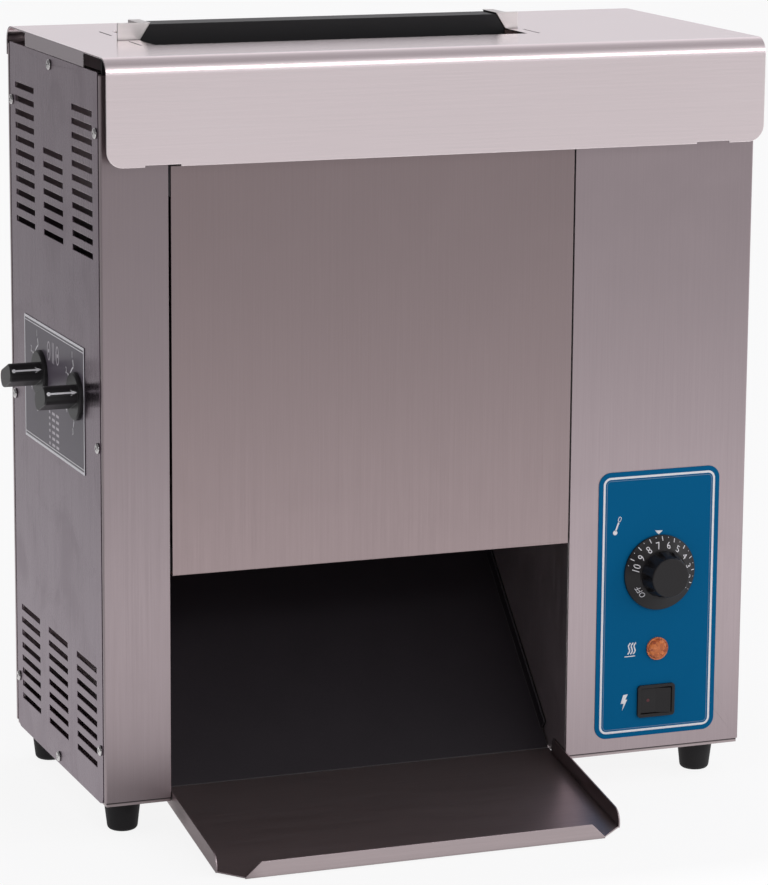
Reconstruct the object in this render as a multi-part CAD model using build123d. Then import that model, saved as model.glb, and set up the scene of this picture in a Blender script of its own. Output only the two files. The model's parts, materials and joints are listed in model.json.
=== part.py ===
# A vertical contact toaster: X runs across the front, Y from front to back, Z up.
# Lengths are millimetres and angles degrees. Places are measured from the front left
# bottom corner of the cabinet, and the finished pieces are moved to the object's origin.
import math
import os

from build123d import *

# Cabinet shell
cabinet_depth = 272.0
cabinet_height = 619.0
sheet = 1.2
overrun = 5.0
seat_gap = 0.3
run_gap = 0.08
hole_gap = 0.05
chamber_left = 56.8
chamber_width = 356.7
compartment_width = 164.5
hood_gap = 0.5
panel_step = 2.0
pan_reveal = 3.5
pan_flange = 14.0
corner_return = 3.4
corner_seam = 3.0
corner_round = 1.6
joggle_reach = 22.0
stile_flange = 14.0
panel_corner = 9.0
tray_cut_margin = 6.3

# Rails of the cabinet frame
front_rail_drop = 27.0
lower_rail_rise = 3.8
lower_rail_height = 20.0
side_rail_height = 19.0
side_rail_shelf = 12.0

# Vent slots of the side panels
vent_length = 58.0
vent_height = 5.0
vent_pitch = 11.5
vent_margin = 22.0
upper_vent_rows = 11
middle_vent_rows = 7
upper_vent_drop = 32.5
lower_vent_rows = 8
lower_vent_top = 114.0

# Hood
apron_stand = 18.0
apron_drop = 87.0
apron_corner = 14.0
hood_bend = 13.0
hood_back_stand = 4.0
hood_back_drop = 25.0
hood_lap_front = 45.0
hood_lap_inset = 55.0
apron_notch_width = 30.0
apron_notch_depth = 1.6
apron_notch_inset = 32.0
bun_opening_margin = 13.35
bun_opening_depth = 120.0
slit_width = 1.8
slit_length = 36.0
slit_inset = 2.0

# Bun feeder
feeder_thickness = 28.0
feeder_drop = 14.0
feeder_end_gap = 1.5
cap_height = 14.0
cap_foot_widths = (18.2, 10.1)
cap_flare = 9.0

# Front and rear covers
cover_left_seam = 2.2
cover_right_seam = 1.5
cover_bottom = 192.2
cover_drop = 2.0
cover_flange = 9.0
cover_stud_radius = 2.5
cover_stud_inset = 31.0
cover_stud_length = 8.0
rear_cover_lap = 10.0
thumb_head_radius = 8.0
thumb_head_height = 8.0
thumb_shank_radius = 2.5
thumb_shank_length = 9.0
thumb_inset = 5.5
louvre_length = 100.0
louvre_height = 5.0
louvre_pitch = 18.0
louvre_rows = 6
louvre_columns = 2
louvre_spread = 140.0
louvre_drop = 30.0

# Platen
crown_gap = 33.7
heel_gap = 15.7
platen_thickness = 24.0
platen_foot = 22.0
platen_drop = 21.0
platen_end_gap = 7.2
platen_corner = 3.0
heater_radius = 5.0
heater_shares = (1 / 6, 1 / 2, 5 / 6)
bulb_radius = 3.0
bulb_length = 160.0
bulb_share = 1 / 3
release_sheet_thickness = 0.4
release_sheet_inset = 4.0
release_sheet_rise = 10.0
bracket_share = 0.1
bracket_inset = 24.0
bracket_plate = 2.0
bracket_tongue = 16.0

# Conveyors
front_conveyor_y = 72.0
drive_axis_drop = 54.0
idler_axis_drop = 71.0
roller_radius = 16.0
roller_end_gap = 9.0
belt_thickness = 2.0
belt_inset = 2.0
drive_shaft_radius = 6.0
idler_shaft_radius = 5.0
frame_plate = 2.0
frame_plate_radius = 15.0
frame_wall_gap = 3.4
crossbar_shares = (0.09, 0.52, 0.85)
crossbar_back = 8.0
pressure_plate = 1.5
pressure_plate_offset = 12.0
pressure_plate_inset = 24.0
pressure_notch_margin = 10.0

# Compression knobs and their cams
front_knob_offset = 2.0
rear_knob_offset = 6.0
knob_height = 333.0
cam_shaft_radius = 4.0
cam_radius = 6.5
cam_throw = 3.0
cam_width = 4.0
cam_slot_gap = 0.6
cam_end_reach = 4.0
knob_skirt_radius = 20.0
knob_skirt = 4.0
knob_standoff = 0.7
knob_grip_length = 34.0
knob_grip_height = 16.0
knob_grip_reach = 27.5
knob_grip_corner = 7.0
knob_rest_turn = 22.0
knob_edge = 1.5
knob_bore_depth = 20.0
label_front_margin = 21.0
label_back_margin = 52.0
label_drop = 63.0
label_rise = 43.5
label_thickness = 0.5
label_corner = 1.0
label_hole_radius = 7.0

# Bushes in the chamber walls
bush_wall = 3.0
bush_lip = 2.0
bush_lip_thickness = 1.0

# Landing tray and discharge chute
tray_side_gap = 0.5
tray_rear_y = 35.7
tray_rear_z = 0.9
tray_slope = 9.9
tray_length = 167.0
tray_wall_height = 13.0
tray_wall_rear = 8.0
tray_wall_front = 153.0
tray_wall_round = 12.0
tray_corner_x = 20.0
tray_corner_y = 15.0
tray_lip_bevel = 13.0
chute_slope = 44.7
chute_overhang = 40.0
chute_flange = 10.0
chute_wall_gap = 1.0
chute_rail_width = 11.0
chute_rail_thickness = 1.5
chute_rail_start = 40.0
chute_rail_length = 150.0

# Feet and screws
foot_height = 30.0
foot_top_radius = 16.0
foot_bottom_radius = 12.5
foot_edge = 4.0
foot_inset_x = 25.0
foot_inset_front = 35.0
foot_inset_back = 18.0
foot_bore_radius = 5.0
foot_bore_depth = 20.0
screw_head_radius = 4.4
screw_head_height = 2.2
screw_head_edge = 0.9
screw_shank_radius = 2.0
screw_shank_length = 6.0
screw_inset = 12.0
screw_low = 46.0
screw_middle = 300.5
screw_top_drop = 49.0
top_screw_offset = 7.0
top_screw_drop = 7.5
bottom_screw_height = 6.5

# Control panel
overlay_left_margin = 26.5
overlay_right_margin = 24.5
overlay_low = 15.0
overlay_height = 235.5
overlay_thickness = 0.5
overlay_corner = 11.0
dial_offset = 1.0
dial_rise = 145.1
dial_radius = 33.0
dial_shoulder_radius = 22.0
dial_skirt_height = 8.0
dial_rim = 1.5
dial_hub_radius = 17.0
dial_hub_base_radius = 20.5
dial_hub_height = 16.0
dial_flute_radius = 2.6
dial_flutes = 10
dial_standoff = 0.8
dial_shaft_radius = 3.0
dial_shaft_length = 14.0
thermostat_width = 42.0
thermostat_height = 40.0
thermostat_depth = 30.0
thermostat_bush_radius = 5.0
thermostat_bush_length = 0.9
lamp_offset = 0.8
lamp_rise = 77.1
lamp_rim_radius = 10.0
lamp_rim = 1.6
lamp_body_radius = 7.5
lamp_body_length = 24.0
lamp_dome_height = 2.4
lamp_lens_radius = 8.6
lamp_lens_seat = 1.2
switch_offset = 0.3
switch_rise = 30.9
switch_width = 35.0
switch_height = 28.5
switch_corner = 3.0
switch_rim = 2.4
switch_lip = 2.8
switch_depth = 22.0
switch_body_inset = 1.6
switch_well_depth = 11.0
rocker_pivot_depth = 2.0
rocker_pin_radius = 1.2
rocker_half = 13.6
rocker_end_stand = 3.2
rocker_mid_stand = 1.7
rocker_back = 6.0
rocker_tilt = 8.0
rocker_gap = 0.5

# Drive in the right compartment
motor_offset = 5.0
motor_share = 2 / 3
gearbox_width = 40.0
gearbox_length = 56.0
gearbox_height = 64.0
motor_radius = 29.0
motor_length = 76.0
motor_edge = 4.0
motor_shaft_radius = 4.0
motor_shaft_bore = 12.0
motor_bracket_stand = 19.0
motor_bracket_sheet = 2.0
motor_bracket_length = 76.0
motor_bracket_height = 84.0
motor_post_radius = 4.0
motor_post_inset = 7.0
chain_width = 6.0
chain_height = 5.0
chain_stand = 7.0
sprocket_gap = 0.3
drive_sprocket_radius = 16.0
motor_sprocket_radius = 14.0
idler_sprocket_radius = 10.0
sprocket_teeth = 12
sprocket_notch = 1.6
sprocket_hub_radius = 9.0
sprocket_hub_length = 3.0
chain_idler_share = 0.64
chain_idler_rise = 23.0
chain_stud_radius = 3.0
chain_stud_head_radius = 5.0
chain_stud_head = 1.5

# Cooling fan
fan_z = 120.0
fan_size = 92.0
fan_corner = 6.0
fan_depth = 25.0
fan_bore_radius = 43.0
fan_boss_radius = 15.0
fan_boss_depth = 5.0
fan_strut = 5.0
fan_struts = 4
fan_hub_radius = 16.0
fan_hub_depth = 15.0
fan_blade_radius = 41.0
fan_blade_sheet = 1.6
fan_blade_chord = 12.0
fan_blade_pitch = 38.0
fan_blades = 7
fan_shaft_radius = 2.0
guard_wire = 2.2
guard_rings = 4
guard_pitch = 10.0
guard_bars = 2

# Wiring and small electrics
terminal_margin = 26.5
terminal_inset = 96.0
terminal_length = 60.0
terminal_width = 24.0
terminal_height = 20.0
terminal_ways = 4
terminal_step = 7.0
limit_margin = 36.5
limit_z = 300.0
limit_radius = 14.0
limit_depth = 22.0
reset_radius = 3.5
reset_collar_radius = 6.0
reset_collar = 3.0
reset_stand = 3.5
reset_travel = 2.5
reset_length = 12.0
gland_inset = 38.0
gland_z = 38.0
gland_bore_radius = 5.5
gland_thread_radius = 9.0
gland_nut_radius = 13.0
gland_nut = 8.0
gland_cap = 9.0
gland_cap_radius = 10.5
capillary_radius = 1.3
capillary_bend = 14.0
capillary_run = 40.0
loom_radius = 3.5
loom_bends = (18.0, 60.0)
loom_run = 40.0
loom_rise = 52.0

# Places worked out from the sizes above, across
chamber_right = chamber_left + chamber_width
chamber_middle = chamber_left + chamber_width / 2
cabinet_width = chamber_right + compartment_width
bun_opening_width = chamber_width - 2 * bun_opening_margin
platen_left = chamber_left + platen_end_gap
platen_right = chamber_right - platen_end_gap
frame_left = chamber_left + frame_wall_gap
frame_right = chamber_right - frame_wall_gap
roller_left = chamber_left + roller_end_gap
roller_right = chamber_right - roller_end_gap
chain_left = chamber_right + sheet + chain_stand
chain_right = chain_left + chain_width
bracket_x = chamber_right + sheet + motor_bracket_stand
gearbox_left = bracket_x + motor_bracket_sheet
overlay_left = chamber_right + overlay_left_margin
overlay_right = cabinet_width - overlay_right_margin
overlay_middle = (overlay_left + overlay_right) / 2
dial_x = overlay_middle + dial_offset
lamp_x = overlay_middle + lamp_offset
switch_x = overlay_middle + switch_offset
fan_x = overlay_middle
terminal_x = chamber_right + terminal_margin
limit_x = chamber_right + limit_margin
gland_x = cabinet_width - gland_inset
knob_tip = knob_standoff + knob_skirt + knob_grip_reach

# From front to back
side_front = corner_return + corner_seam
side_back = cabinet_depth - side_front
vent_column_pitch = (cabinet_depth - 2 * vent_margin - vent_length) / 2
hood_lap_back = cabinet_depth - hood_lap_inset
belt_line_radius = roller_radius + seat_gap + belt_thickness / 2
belt_reach = roller_radius + seat_gap + belt_thickness
platen_front = front_conveyor_y + belt_reach + crown_gap
platen_back = platen_front + platen_thickness
platen_middle = platen_front + platen_thickness / 2
rear_conveyor_y = platen_back + heel_gap + belt_reach
bun_opening_front = platen_middle - bun_opening_depth / 2
front_knob_y = front_conveyor_y - front_knob_offset
rear_knob_y = rear_conveyor_y - rear_knob_offset
label_front = front_knob_y - label_front_margin
label_back = rear_knob_y + label_back_margin
cam_slot_half = cam_radius + cam_slot_gap
top_screw_y = cabinet_depth / 2 + top_screw_offset
motor_y = platen_middle - motor_offset
chain_idler_y = rear_conveyor_y + chain_idler_share * (cabinet_depth - rear_conveyor_y)
terminal_y = cabinet_depth - terminal_inset
tray_cut_depth = tray_rear_y + tray_cut_margin
chute_length = (rear_conveyor_y + chute_overhang - tray_rear_y) / math.cos(math.radians(chute_slope))

# Upwards
hood_underside = cabinet_height - sheet
side_height = cabinet_height - hood_bend
panel_top = side_height - panel_step
flange_low = pan_flange + seat_gap
upper_vent_top = side_height - upper_vent_drop
apron_bottom = cabinet_height - apron_drop
hood_back_bottom = cabinet_height - hood_back_drop
cover_top = apron_bottom - cover_drop
louvre_top = cover_top - louvre_drop
front_rail_low = apron_bottom - front_rail_drop
lower_rail_low = cover_bottom + lower_rail_rise
drive_axis_height = cabinet_height - drive_axis_drop
idler_axis_height = knob_height - idler_axis_drop
axis_span = drive_axis_height - idler_axis_height
crossbar_heights = [idler_axis_height + share * axis_span for share in crossbar_shares]
pressure_plate_low = idler_axis_height + pressure_plate_inset
pressure_plate_high = drive_axis_height - pressure_plate_inset
platen_bottom = idler_axis_height - platen_foot
platen_top = cabinet_height - platen_drop
heater_heights = [platen_bottom + share * (platen_top - platen_bottom) for share in heater_shares]
bracket_height = bracket_share * (platen_top - platen_bottom)
bulb_height = platen_bottom + bulb_share * (platen_top - platen_bottom)
release_sheet_bottom = platen_bottom + release_sheet_rise
bracket_heights = (platen_bottom + bracket_inset, platen_top - bracket_inset)
label_low = knob_height - label_drop
label_high = knob_height + label_rise
screw_heights = (screw_low, screw_middle, side_height - screw_top_drop)
overlay_high = overlay_low + overlay_height
dial_z = overlay_low + dial_rise
lamp_z = overlay_low + lamp_rise
switch_z = overlay_low + switch_rise
motor_z = platen_bottom + motor_share * (platen_top - platen_bottom)
chain_idler_z = drive_axis_height + chain_idler_rise

# The object's origin, in the middle of its bounding box at the foot of its feet
x_low = -knob_tip
x_high = cabinet_width + screw_head_height
tray_angle = math.radians(tray_slope)
y_low = tray_rear_y - tray_length * math.cos(tray_angle) - tray_wall_height * math.sin(tray_angle)
y_high = cabinet_depth + gland_nut + gland_cap
origin = Pos(-(x_low + x_high) / 2, -(y_low + y_high) / 2, foot_height)
on_base = (Align.CENTER, Align.CENTER, Align.MIN)


def block(x0, x1, y0, y1, z0, z1):
    corner = Pos(x0, y0, z0)
    return corner * Box(x1 - x0, y1 - y0, z1 - z0, align=(Align.MIN, Align.MIN, Align.MIN))


def rod_x(x0, x1, y, z, radius):
    return Pos(x0, y, z) * Rot(0, 90, 0) * Cylinder(radius, x1 - x0, align=on_base)


def rod_y(y0, y1, x, z, radius):
    return Pos(x, y0, z) * Rot(-90, 0, 0) * Cylinder(radius, y1 - y0, align=on_base)


def rod_z(z0, z1, x, y, radius):
    return Pos(x, y, z0) * Cylinder(radius, z1 - z0, align=on_base)


def plate_x(x0, x1, y0, y1, z0, z1, corner):
    face = Plane.YZ * RectangleRounded(y1 - y0, z1 - z0, corner)
    return Pos(x0, (y0 + y1) / 2, (z0 + z1) / 2) * extrude(face, x1 - x0)


def plate_y(x0, x1, y0, y1, z0, z1, corner):
    face = Plane.XZ * RectangleRounded(x1 - x0, z1 - z0, corner)
    return Pos((x0 + x1) / 2, y1, (z0 + z1) / 2) * extrude(face, y1 - y0)


def slab_y(y0, y1, outline):
    face = Plane.XZ * make_face(Polyline(*outline, close=True))
    return Pos(0, y1, 0) * extrude(face, y1 - y0)


def group(pieces):
    return Compound([solid for piece in pieces for solid in piece.solids()])


def mirror_sides(piece):
    return Pos(cabinet_width, 0, 0) * mirror(piece, Plane.YZ)


# A closed strap round wheels, given as (y, z, radius, side) in anticlockwise order.
# Side is 1 for a wheel inside the strap and -1 for one that presses on it from outside.
def strap_outline(wheels, grow):
    signed = [side * radius + grow for _, _, radius, side in wheels]
    count = len(wheels)
    headings = []
    for index in range(count):
        here, following = wheels[index], wheels[(index + 1) % count]
        across, up = following[0] - here[0], following[1] - here[1]
        change = signed[(index + 1) % count] - signed[index]
        headings.append(math.atan2(up, across) - math.asin(change / math.hypot(across, up)))
    edges = []
    last_point = None
    first_point = None
    for index in range(count):
        y, z = wheels[index][0], wheels[index][1]
        arrive, leave = headings[index - 1], headings[index]
        turn = (leave - arrive) % (2 * math.pi)
        if wheels[index][3] < 0:
            turn -= 2 * math.pi
        reach = signed[index]
        points = []
        for angle in (arrive, arrive + turn / 2, leave):
            points.append((y + reach * math.sin(angle), z - reach * math.cos(angle)))
        if last_point is None:
            first_point = points[0]
        else:
            edges.append(Line(last_point, points[0]))
        edges.append(ThreePointArc(*points))
        last_point = points[2]
    edges.append(Line(last_point, first_point))
    return make_face(edges)


def strap(x0, x1, wheels, thickness):
    ring = strap_outline(wheels, thickness / 2) - strap_outline(wheels, -thickness / 2)
    return Pos(x0, 0, 0) * extrude(Plane.YZ * ring, x1 - x0)


def screw_places():
    places = [(screw_inset, height) for height in screw_heights]
    places += [(cabinet_depth - screw_inset, height) for height in screw_heights]
    places.append((top_screw_y, panel_top - top_screw_drop))
    places.append((cabinet_depth / 2, bottom_screw_height))
    return places


def screw_holes(radius):
    reach = screw_shank_length + overrun
    holes = [rod_x(-overrun, reach, y, z, radius) for y, z in screw_places()]
    return holes + [mirror_sides(hole) for hole in holes]


def foot_places():
    places = []
    for x in (foot_inset_x, cabinet_width - foot_inset_x):
        for y in (foot_inset_front, cabinet_depth - foot_inset_back):
            places.append((x, y))
    return places


side_screw_holes = screw_holes(screw_shank_radius + hole_gap)


def base_pan():
    floor = block(sheet, cabinet_width - sheet, sheet, cabinet_depth - sheet, 0, sheet)
    outer = block(sheet, cabinet_width - sheet, sheet, cabinet_depth - sheet, 0, pan_flange)
    inner = block(2 * sheet, cabinet_width - 2 * sheet, 2 * sheet, cabinet_depth - 2 * sheet, sheet,
                  pan_flange + overrun)
    mouth = block(chamber_left, chamber_right, -overrun, tray_cut_depth, -overrun, pan_flange + overrun)
    pan = (floor + outer) - inner - mouth - side_screw_holes
    radius = screw_shank_radius + hole_gap
    return pan - [rod_z(-overrun, overrun, x, y, radius) for x, y in foot_places()]


def front_stile(width):
    plate = block(0, width, 0, sheet, pan_reveal, panel_top)
    corner_strip = block(0, sheet, 0, corner_return, pan_reveal, panel_top)
    joggle = block(sheet, 2 * sheet, 0, joggle_reach, flange_low, panel_top)
    inner_flange = block(width - 2 * sheet, width - sheet, 0, stile_flange, flange_low,
                         front_rail_low - seat_gap)
    stile = plate + corner_strip + joggle + inner_flange
    corner_edge = stile.edges().filter_by(Axis.Z).sort_by_distance((0, 0, panel_top / 2))[0]
    return fillet(corner_edge, min(corner_round, corner_return / 2))


def left_front_stile():
    return front_stile(chamber_left) - side_screw_holes


def control_panel():
    panel = mirror_sides(front_stile(cabinet_width - chamber_right))
    dial_hole = rod_y(-overrun, overrun, dial_x, dial_z, thermostat_bush_radius + hole_gap)
    lamp_hole = rod_y(-overrun, overrun, lamp_x, lamp_z, lamp_body_radius + hole_gap)
    return panel - side_screw_holes - dial_hole - lamp_hole - switch_hole()


def switch_hole():
    half_width = switch_width / 2 - switch_body_inset + hole_gap
    half_height = switch_height / 2 - switch_body_inset + hole_gap
    return block(switch_x - half_width, switch_x + half_width, -overrun, overrun,
                 switch_z - half_height, switch_z + half_height)


def vent_slots():
    slots = []
    middle = cabinet_depth / 2
    for column in (-1, 0, 1):
        start = middle + column * vent_column_pitch - vent_length / 2
        first_row = upper_vent_rows - middle_vent_rows if column == 0 else 0
        tops = [upper_vent_top - row * vent_pitch for row in range(first_row, upper_vent_rows)]
        tops += [lower_vent_top - row * vent_pitch for row in range(lower_vent_rows)]
        for top in tops:
            slots.append(block(-overrun, overrun, start, start + vent_length, top - vent_height, top))
    return slots


def left_side_panel():
    panel = plate_x(0, sheet, side_front, side_back, 0, side_height, panel_corner)
    square_top = block(0, sheet, side_front, side_back, side_height / 2, side_height)
    panel = panel + square_top
    for y in (front_knob_y, rear_knob_y):
        panel -= rod_x(-overrun, overrun, y, knob_height, label_hole_radius)
    return panel - vent_slots() - side_screw_holes


def right_side_panel():
    panel = plate_x(0, sheet, side_front, side_back, 0, side_height, panel_corner)
    square_top = block(0, sheet, side_front, side_back, side_height / 2, side_height)
    return mirror_sides(panel + square_top - vent_slots()) - side_screw_holes


def rear_panel():
    back = cabinet_depth
    panel = block(0, cabinet_width, back - sheet, back, pan_reveal, panel_top)
    for side in (0, 1):
        strip = block(0, sheet, back - corner_return, back, pan_reveal, panel_top)
        joggle = block(sheet, 2 * sheet, back - joggle_reach, back - sheet, flange_low, panel_top)
        panel += mirror_sides(strip + joggle) if side else strip + joggle
    window = block(chamber_left + rear_cover_lap, chamber_right - rear_cover_lap, back - overrun,
                   back + overrun, cover_bottom + rear_cover_lap, cover_top - rear_cover_lap)
    holes = [rod_y(back - overrun, back + overrun, x, z, thumb_shank_radius + hole_gap)
             for x, z in thumb_places()]
    fan_hole = rod_y(back - overrun, back + overrun, fan_x, fan_z, fan_bore_radius)
    reset_hole = rod_y(back - overrun, back + overrun, limit_x, limit_z, reset_collar_radius + hole_gap)
    gland_hole = rod_y(back - overrun, back + overrun, gland_x, gland_z, gland_thread_radius + hole_gap)
    return panel - window - holes - fan_hole - reset_hole - gland_hole - side_screw_holes


def thumb_places():
    places = []
    for x in (chamber_left + thumb_inset, chamber_right - thumb_inset):
        for z in (cover_bottom + thumb_inset, cover_top - thumb_inset):
            places.append((x, z))
    return places


def cover_stud_places():
    places = []
    for x in (chamber_left + cover_stud_inset, chamber_right - cover_stud_inset):
        places.append((x, lower_rail_low + lower_rail_height / 2))
        places.append((x, (front_rail_low + cover_top) / 2))
    return places


def frame_rails():
    upper = block(2 * sheet, cabinet_width - 2 * sheet, sheet, 2 * sheet, front_rail_low, hood_underside)
    lower = block(chamber_left, chamber_right, 2 * sheet, 3 * sheet, lower_rail_low,
                  lower_rail_low + lower_rail_height)
    holes = [rod_y(-overrun, cover_stud_length, x, z, cover_stud_radius + hole_gap)
             for x, z in cover_stud_places()]
    back = cabinet_depth - joggle_reach
    web = block(sheet, 2 * sheet, joggle_reach, back, panel_top - side_rail_height, panel_top)
    shelf = block(sheet, side_rail_shelf, joggle_reach, back, panel_top - sheet, panel_top)
    side = (web + shelf) - side_screw_holes
    return group([upper - holes, lower - holes, side, mirror_sides(side)])


def wall_bush_places():
    places = [(front_conveyor_y, drive_axis_height, drive_shaft_radius)]
    places.append((rear_conveyor_y, drive_axis_height, drive_shaft_radius))
    places.append((front_knob_y, knob_height, cam_shaft_radius))
    places.append((rear_knob_y, knob_height, cam_shaft_radius))
    return places


def chamber_wall(x0):
    wall = block(x0, x0 + sheet, 2 * sheet, cabinet_depth - 2 * sheet, sheet, hood_underside)
    wall -= block(x0, x0 + sheet, cabinet_depth + hood_back_stand - hood_bend, cabinet_depth,
                  cabinet_height - hood_bend, cabinet_height)
    return wall - [rod_x(x0 - overrun, x0 + overrun, y, z, radius + bush_wall + hole_gap)
                   for y, z, radius in wall_bush_places()]


def left_inner_wall():
    return chamber_wall(chamber_left - sheet)


def right_inner_wall():
    wall = chamber_wall(chamber_right)
    for z in heater_heights:
        wall -= rod_x(chamber_right - overrun, chamber_right + overrun, platen_middle, z,
                      heater_radius + seat_gap)
    wall -= rod_x(chamber_right - overrun, chamber_right + overrun, platen_middle, bulb_height,
                  bulb_radius + seat_gap)
    outer = chamber_right + sheet
    stud_end = chain_right + chain_stud_head
    wall += rod_x(outer, stud_end, chain_idler_y, chain_idler_z, chain_stud_radius)
    wall += rod_x(outer, chain_left - seat_gap, chain_idler_y, chain_idler_z, chain_stud_head_radius)
    return wall


def wall_bushes():
    bushes = []
    for y, z, radius in wall_bush_places():
        for wall_x, inward in ((chamber_left - sheet, -1), (chamber_right, 1)):
            sleeve = rod_x(wall_x, wall_x + sheet, y, z, radius + bush_wall)
            lip_start = wall_x - bush_lip_thickness if inward < 0 else wall_x + sheet
            lip = rod_x(lip_start, lip_start + bush_lip_thickness, y, z, radius + bush_wall + bush_lip)
            bore = rod_x(wall_x - overrun, wall_x + overrun, y, z, radius + run_gap)
            bushes.append(sleeve + lip - bore)
    return group(bushes)


def hood():
    front, back = -apron_stand, cabinet_depth + hood_back_stand
    outer = block(0, cabinet_width, front, back, apron_bottom, cabinet_height)
    top_edges = outer.edges().filter_by(Axis.X).group_by(Axis.Z)[-1]
    outer = fillet(top_edges, hood_bend)
    inner = block(-overrun, cabinet_width + overrun, front + sheet, back - sheet,
                  apron_bottom - overrun, hood_underside)
    inner_edges = inner.edges().filter_by(Axis.X).group_by(Axis.Z)[-1]
    inner = fillet(inner_edges, hood_bend - sheet)
    shell = outer - inner
    shell -= block(-overrun, cabinet_width + overrun, 0, back + overrun, apron_bottom - overrun,
                   hood_back_bottom)
    bottom_edges = shell.edges().filter_by(Axis.Y).group_by(Axis.Z)[0]
    shell = fillet(bottom_edges, apron_corner)
    for x in (apron_notch_inset, cabinet_width - apron_notch_inset - apron_notch_width):
        shell -= block(x, x + apron_notch_width, front - overrun, 0, apron_bottom - overrun,
                       apron_bottom + apron_notch_depth)
    lap = block(0, sheet, hood_lap_front, hood_lap_back, side_height + hood_gap, hood_underside)
    shell = shell + lap + mirror_sides(lap)
    half = bun_opening_width / 2
    shell -= block(chamber_middle - half, chamber_middle + half, bun_opening_front,
                   bun_opening_front + bun_opening_depth, hood_back_bottom, cabinet_height + overrun)
    for x in (chamber_left + slit_inset - slit_width / 2, chamber_right - slit_inset - slit_width / 2):
        for y in (bun_opening_front, bun_opening_front + bun_opening_depth - slit_length):
            shell -= block(x, x + slit_width, y, y + slit_length, hood_back_bottom,
                           cabinet_height + overrun)
    return shell


feeder_front = platen_middle - feeder_thickness / 2
feeder_back = platen_middle + feeder_thickness / 2
feeder_half = bun_opening_width / 2 - feeder_end_gap
feeder_top = cabinet_height + cap_height - sheet - seat_gap


def bun_feeder():
    low = cabinet_height - feeder_drop
    outer = block(chamber_middle - feeder_half, chamber_middle + feeder_half, feeder_front, feeder_back,
                  low, feeder_top)
    inner = block(chamber_middle - feeder_half - overrun, chamber_middle + feeder_half + overrun,
                  feeder_front + sheet, feeder_back - sheet, low - overrun, feeder_top - sheet)
    return outer - inner


def feeder_caps():
    top = cabinet_height + cap_height
    caps = []
    for side, foot_width in zip((-1, 1), cap_foot_widths):
        opening_end = chamber_middle + side * bun_opening_width / 2
        far = opening_end + side * foot_width
        near = opening_end - side * feeder_end_gap
        lean = near - side * cap_flare
        end_wall = near + side * sheet
        tab = slab_y(feeder_front - sheet, feeder_front,
                     ((far, cabinet_height), (near, cabinet_height), (lean, top), (far, top)))
        channel = slab_y(feeder_front - sheet, feeder_back + sheet,
                         ((end_wall, cabinet_height), (near, cabinet_height), (lean, top), (end_wall, top)))
        channel -= block(min(near, chamber_middle), max(near, chamber_middle), feeder_front, feeder_back,
                         cabinet_height - overrun, top - sheet)
        caps.append(tab + channel)
    return group(caps)


def front_cover():
    left, right = chamber_left + cover_left_seam, chamber_right - cover_right_seam
    cover = block(left, right, 0, sheet, cover_bottom, cover_top)
    cover += block(left, right, 0, cover_flange, cover_bottom, cover_bottom + sheet)
    flange_start = lower_rail_low + lower_rail_height + seat_gap
    for x in (left, right - sheet):
        cover += block(x, x + sheet, 0, cover_flange, flange_start, front_rail_low - seat_gap)
    for x, z in cover_stud_places():
        cover += rod_y(0, cover_stud_length, x, z, cover_stud_radius)
    return cover


def rear_cover():
    back = cabinet_depth
    cover = block(chamber_left, chamber_right, back, back + sheet, cover_bottom, cover_top)
    slots = []
    for column in range(louvre_columns):
        x = chamber_middle + (column - (louvre_columns - 1) / 2) * louvre_spread
        for row in range(louvre_rows):
            z = louvre_top - row * louvre_pitch
            slots.append(block(x - louvre_length / 2, x + louvre_length / 2, back - overrun,
                               back + overrun, z - louvre_height, z))
    holes = [rod_y(back - overrun, back + overrun, x, z, thumb_shank_radius + hole_gap)
             for x, z in thumb_places()]
    return cover - slots - holes


def thumb_screws():
    face = cabinet_depth + sheet
    screws = []
    for x, z in thumb_places():
        head = rod_y(face, face + thumb_head_height, x, z, thumb_head_radius)
        screws.append(head + rod_y(face - thumb_shank_length, face, x, z, thumb_shank_radius))
    return group(screws)


def platen():
    plate = plate_y(platen_left, platen_right, platen_front, platen_back, platen_bottom, platen_top,
                    platen_corner)
    bores = [rod_x(platen_left - overrun, platen_right + overrun, platen_middle, z,
                   heater_radius + hole_gap) for z in heater_heights]
    bulb_bore = rod_x(platen_right - bulb_length, platen_right + overrun, platen_middle, bulb_height,
                      bulb_radius + hole_gap)
    return plate - bores - bulb_bore


def platen_heaters():
    end = chain_left - seat_gap
    return group([rod_x(platen_left, end, platen_middle, z, heater_radius) for z in heater_heights])


def platen_brackets():
    brackets = []
    half = bracket_height / 2
    for z in bracket_heights:
        wall_plate = block(chamber_left, chamber_left + bracket_plate, platen_front + sheet,
                           platen_back - sheet, z - half, z + half)
        tongue = block(chamber_left, platen_left, platen_middle - bracket_tongue / 2,
                       platen_middle + bracket_tongue / 2, z - half / 2, z + half / 2)
        bracket = wall_plate + tongue
        brackets += [bracket, Pos(2 * chamber_middle, 0, 0) * mirror(bracket, Plane.YZ)]
    return group(brackets)


def release_sheet():
    x0, x1 = platen_left + release_sheet_inset, platen_right - release_sheet_inset
    gap = seat_gap / 2
    outer_gap = gap + release_sheet_thickness
    outer = block(x0, x1, platen_front - outer_gap, platen_back + outer_gap, release_sheet_bottom,
                  platen_top + outer_gap)
    inner = block(x0 - overrun, x1 + overrun, platen_front - gap, platen_back + gap,
                  release_sheet_bottom - overrun, platen_top + gap)
    return outer - inner


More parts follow.
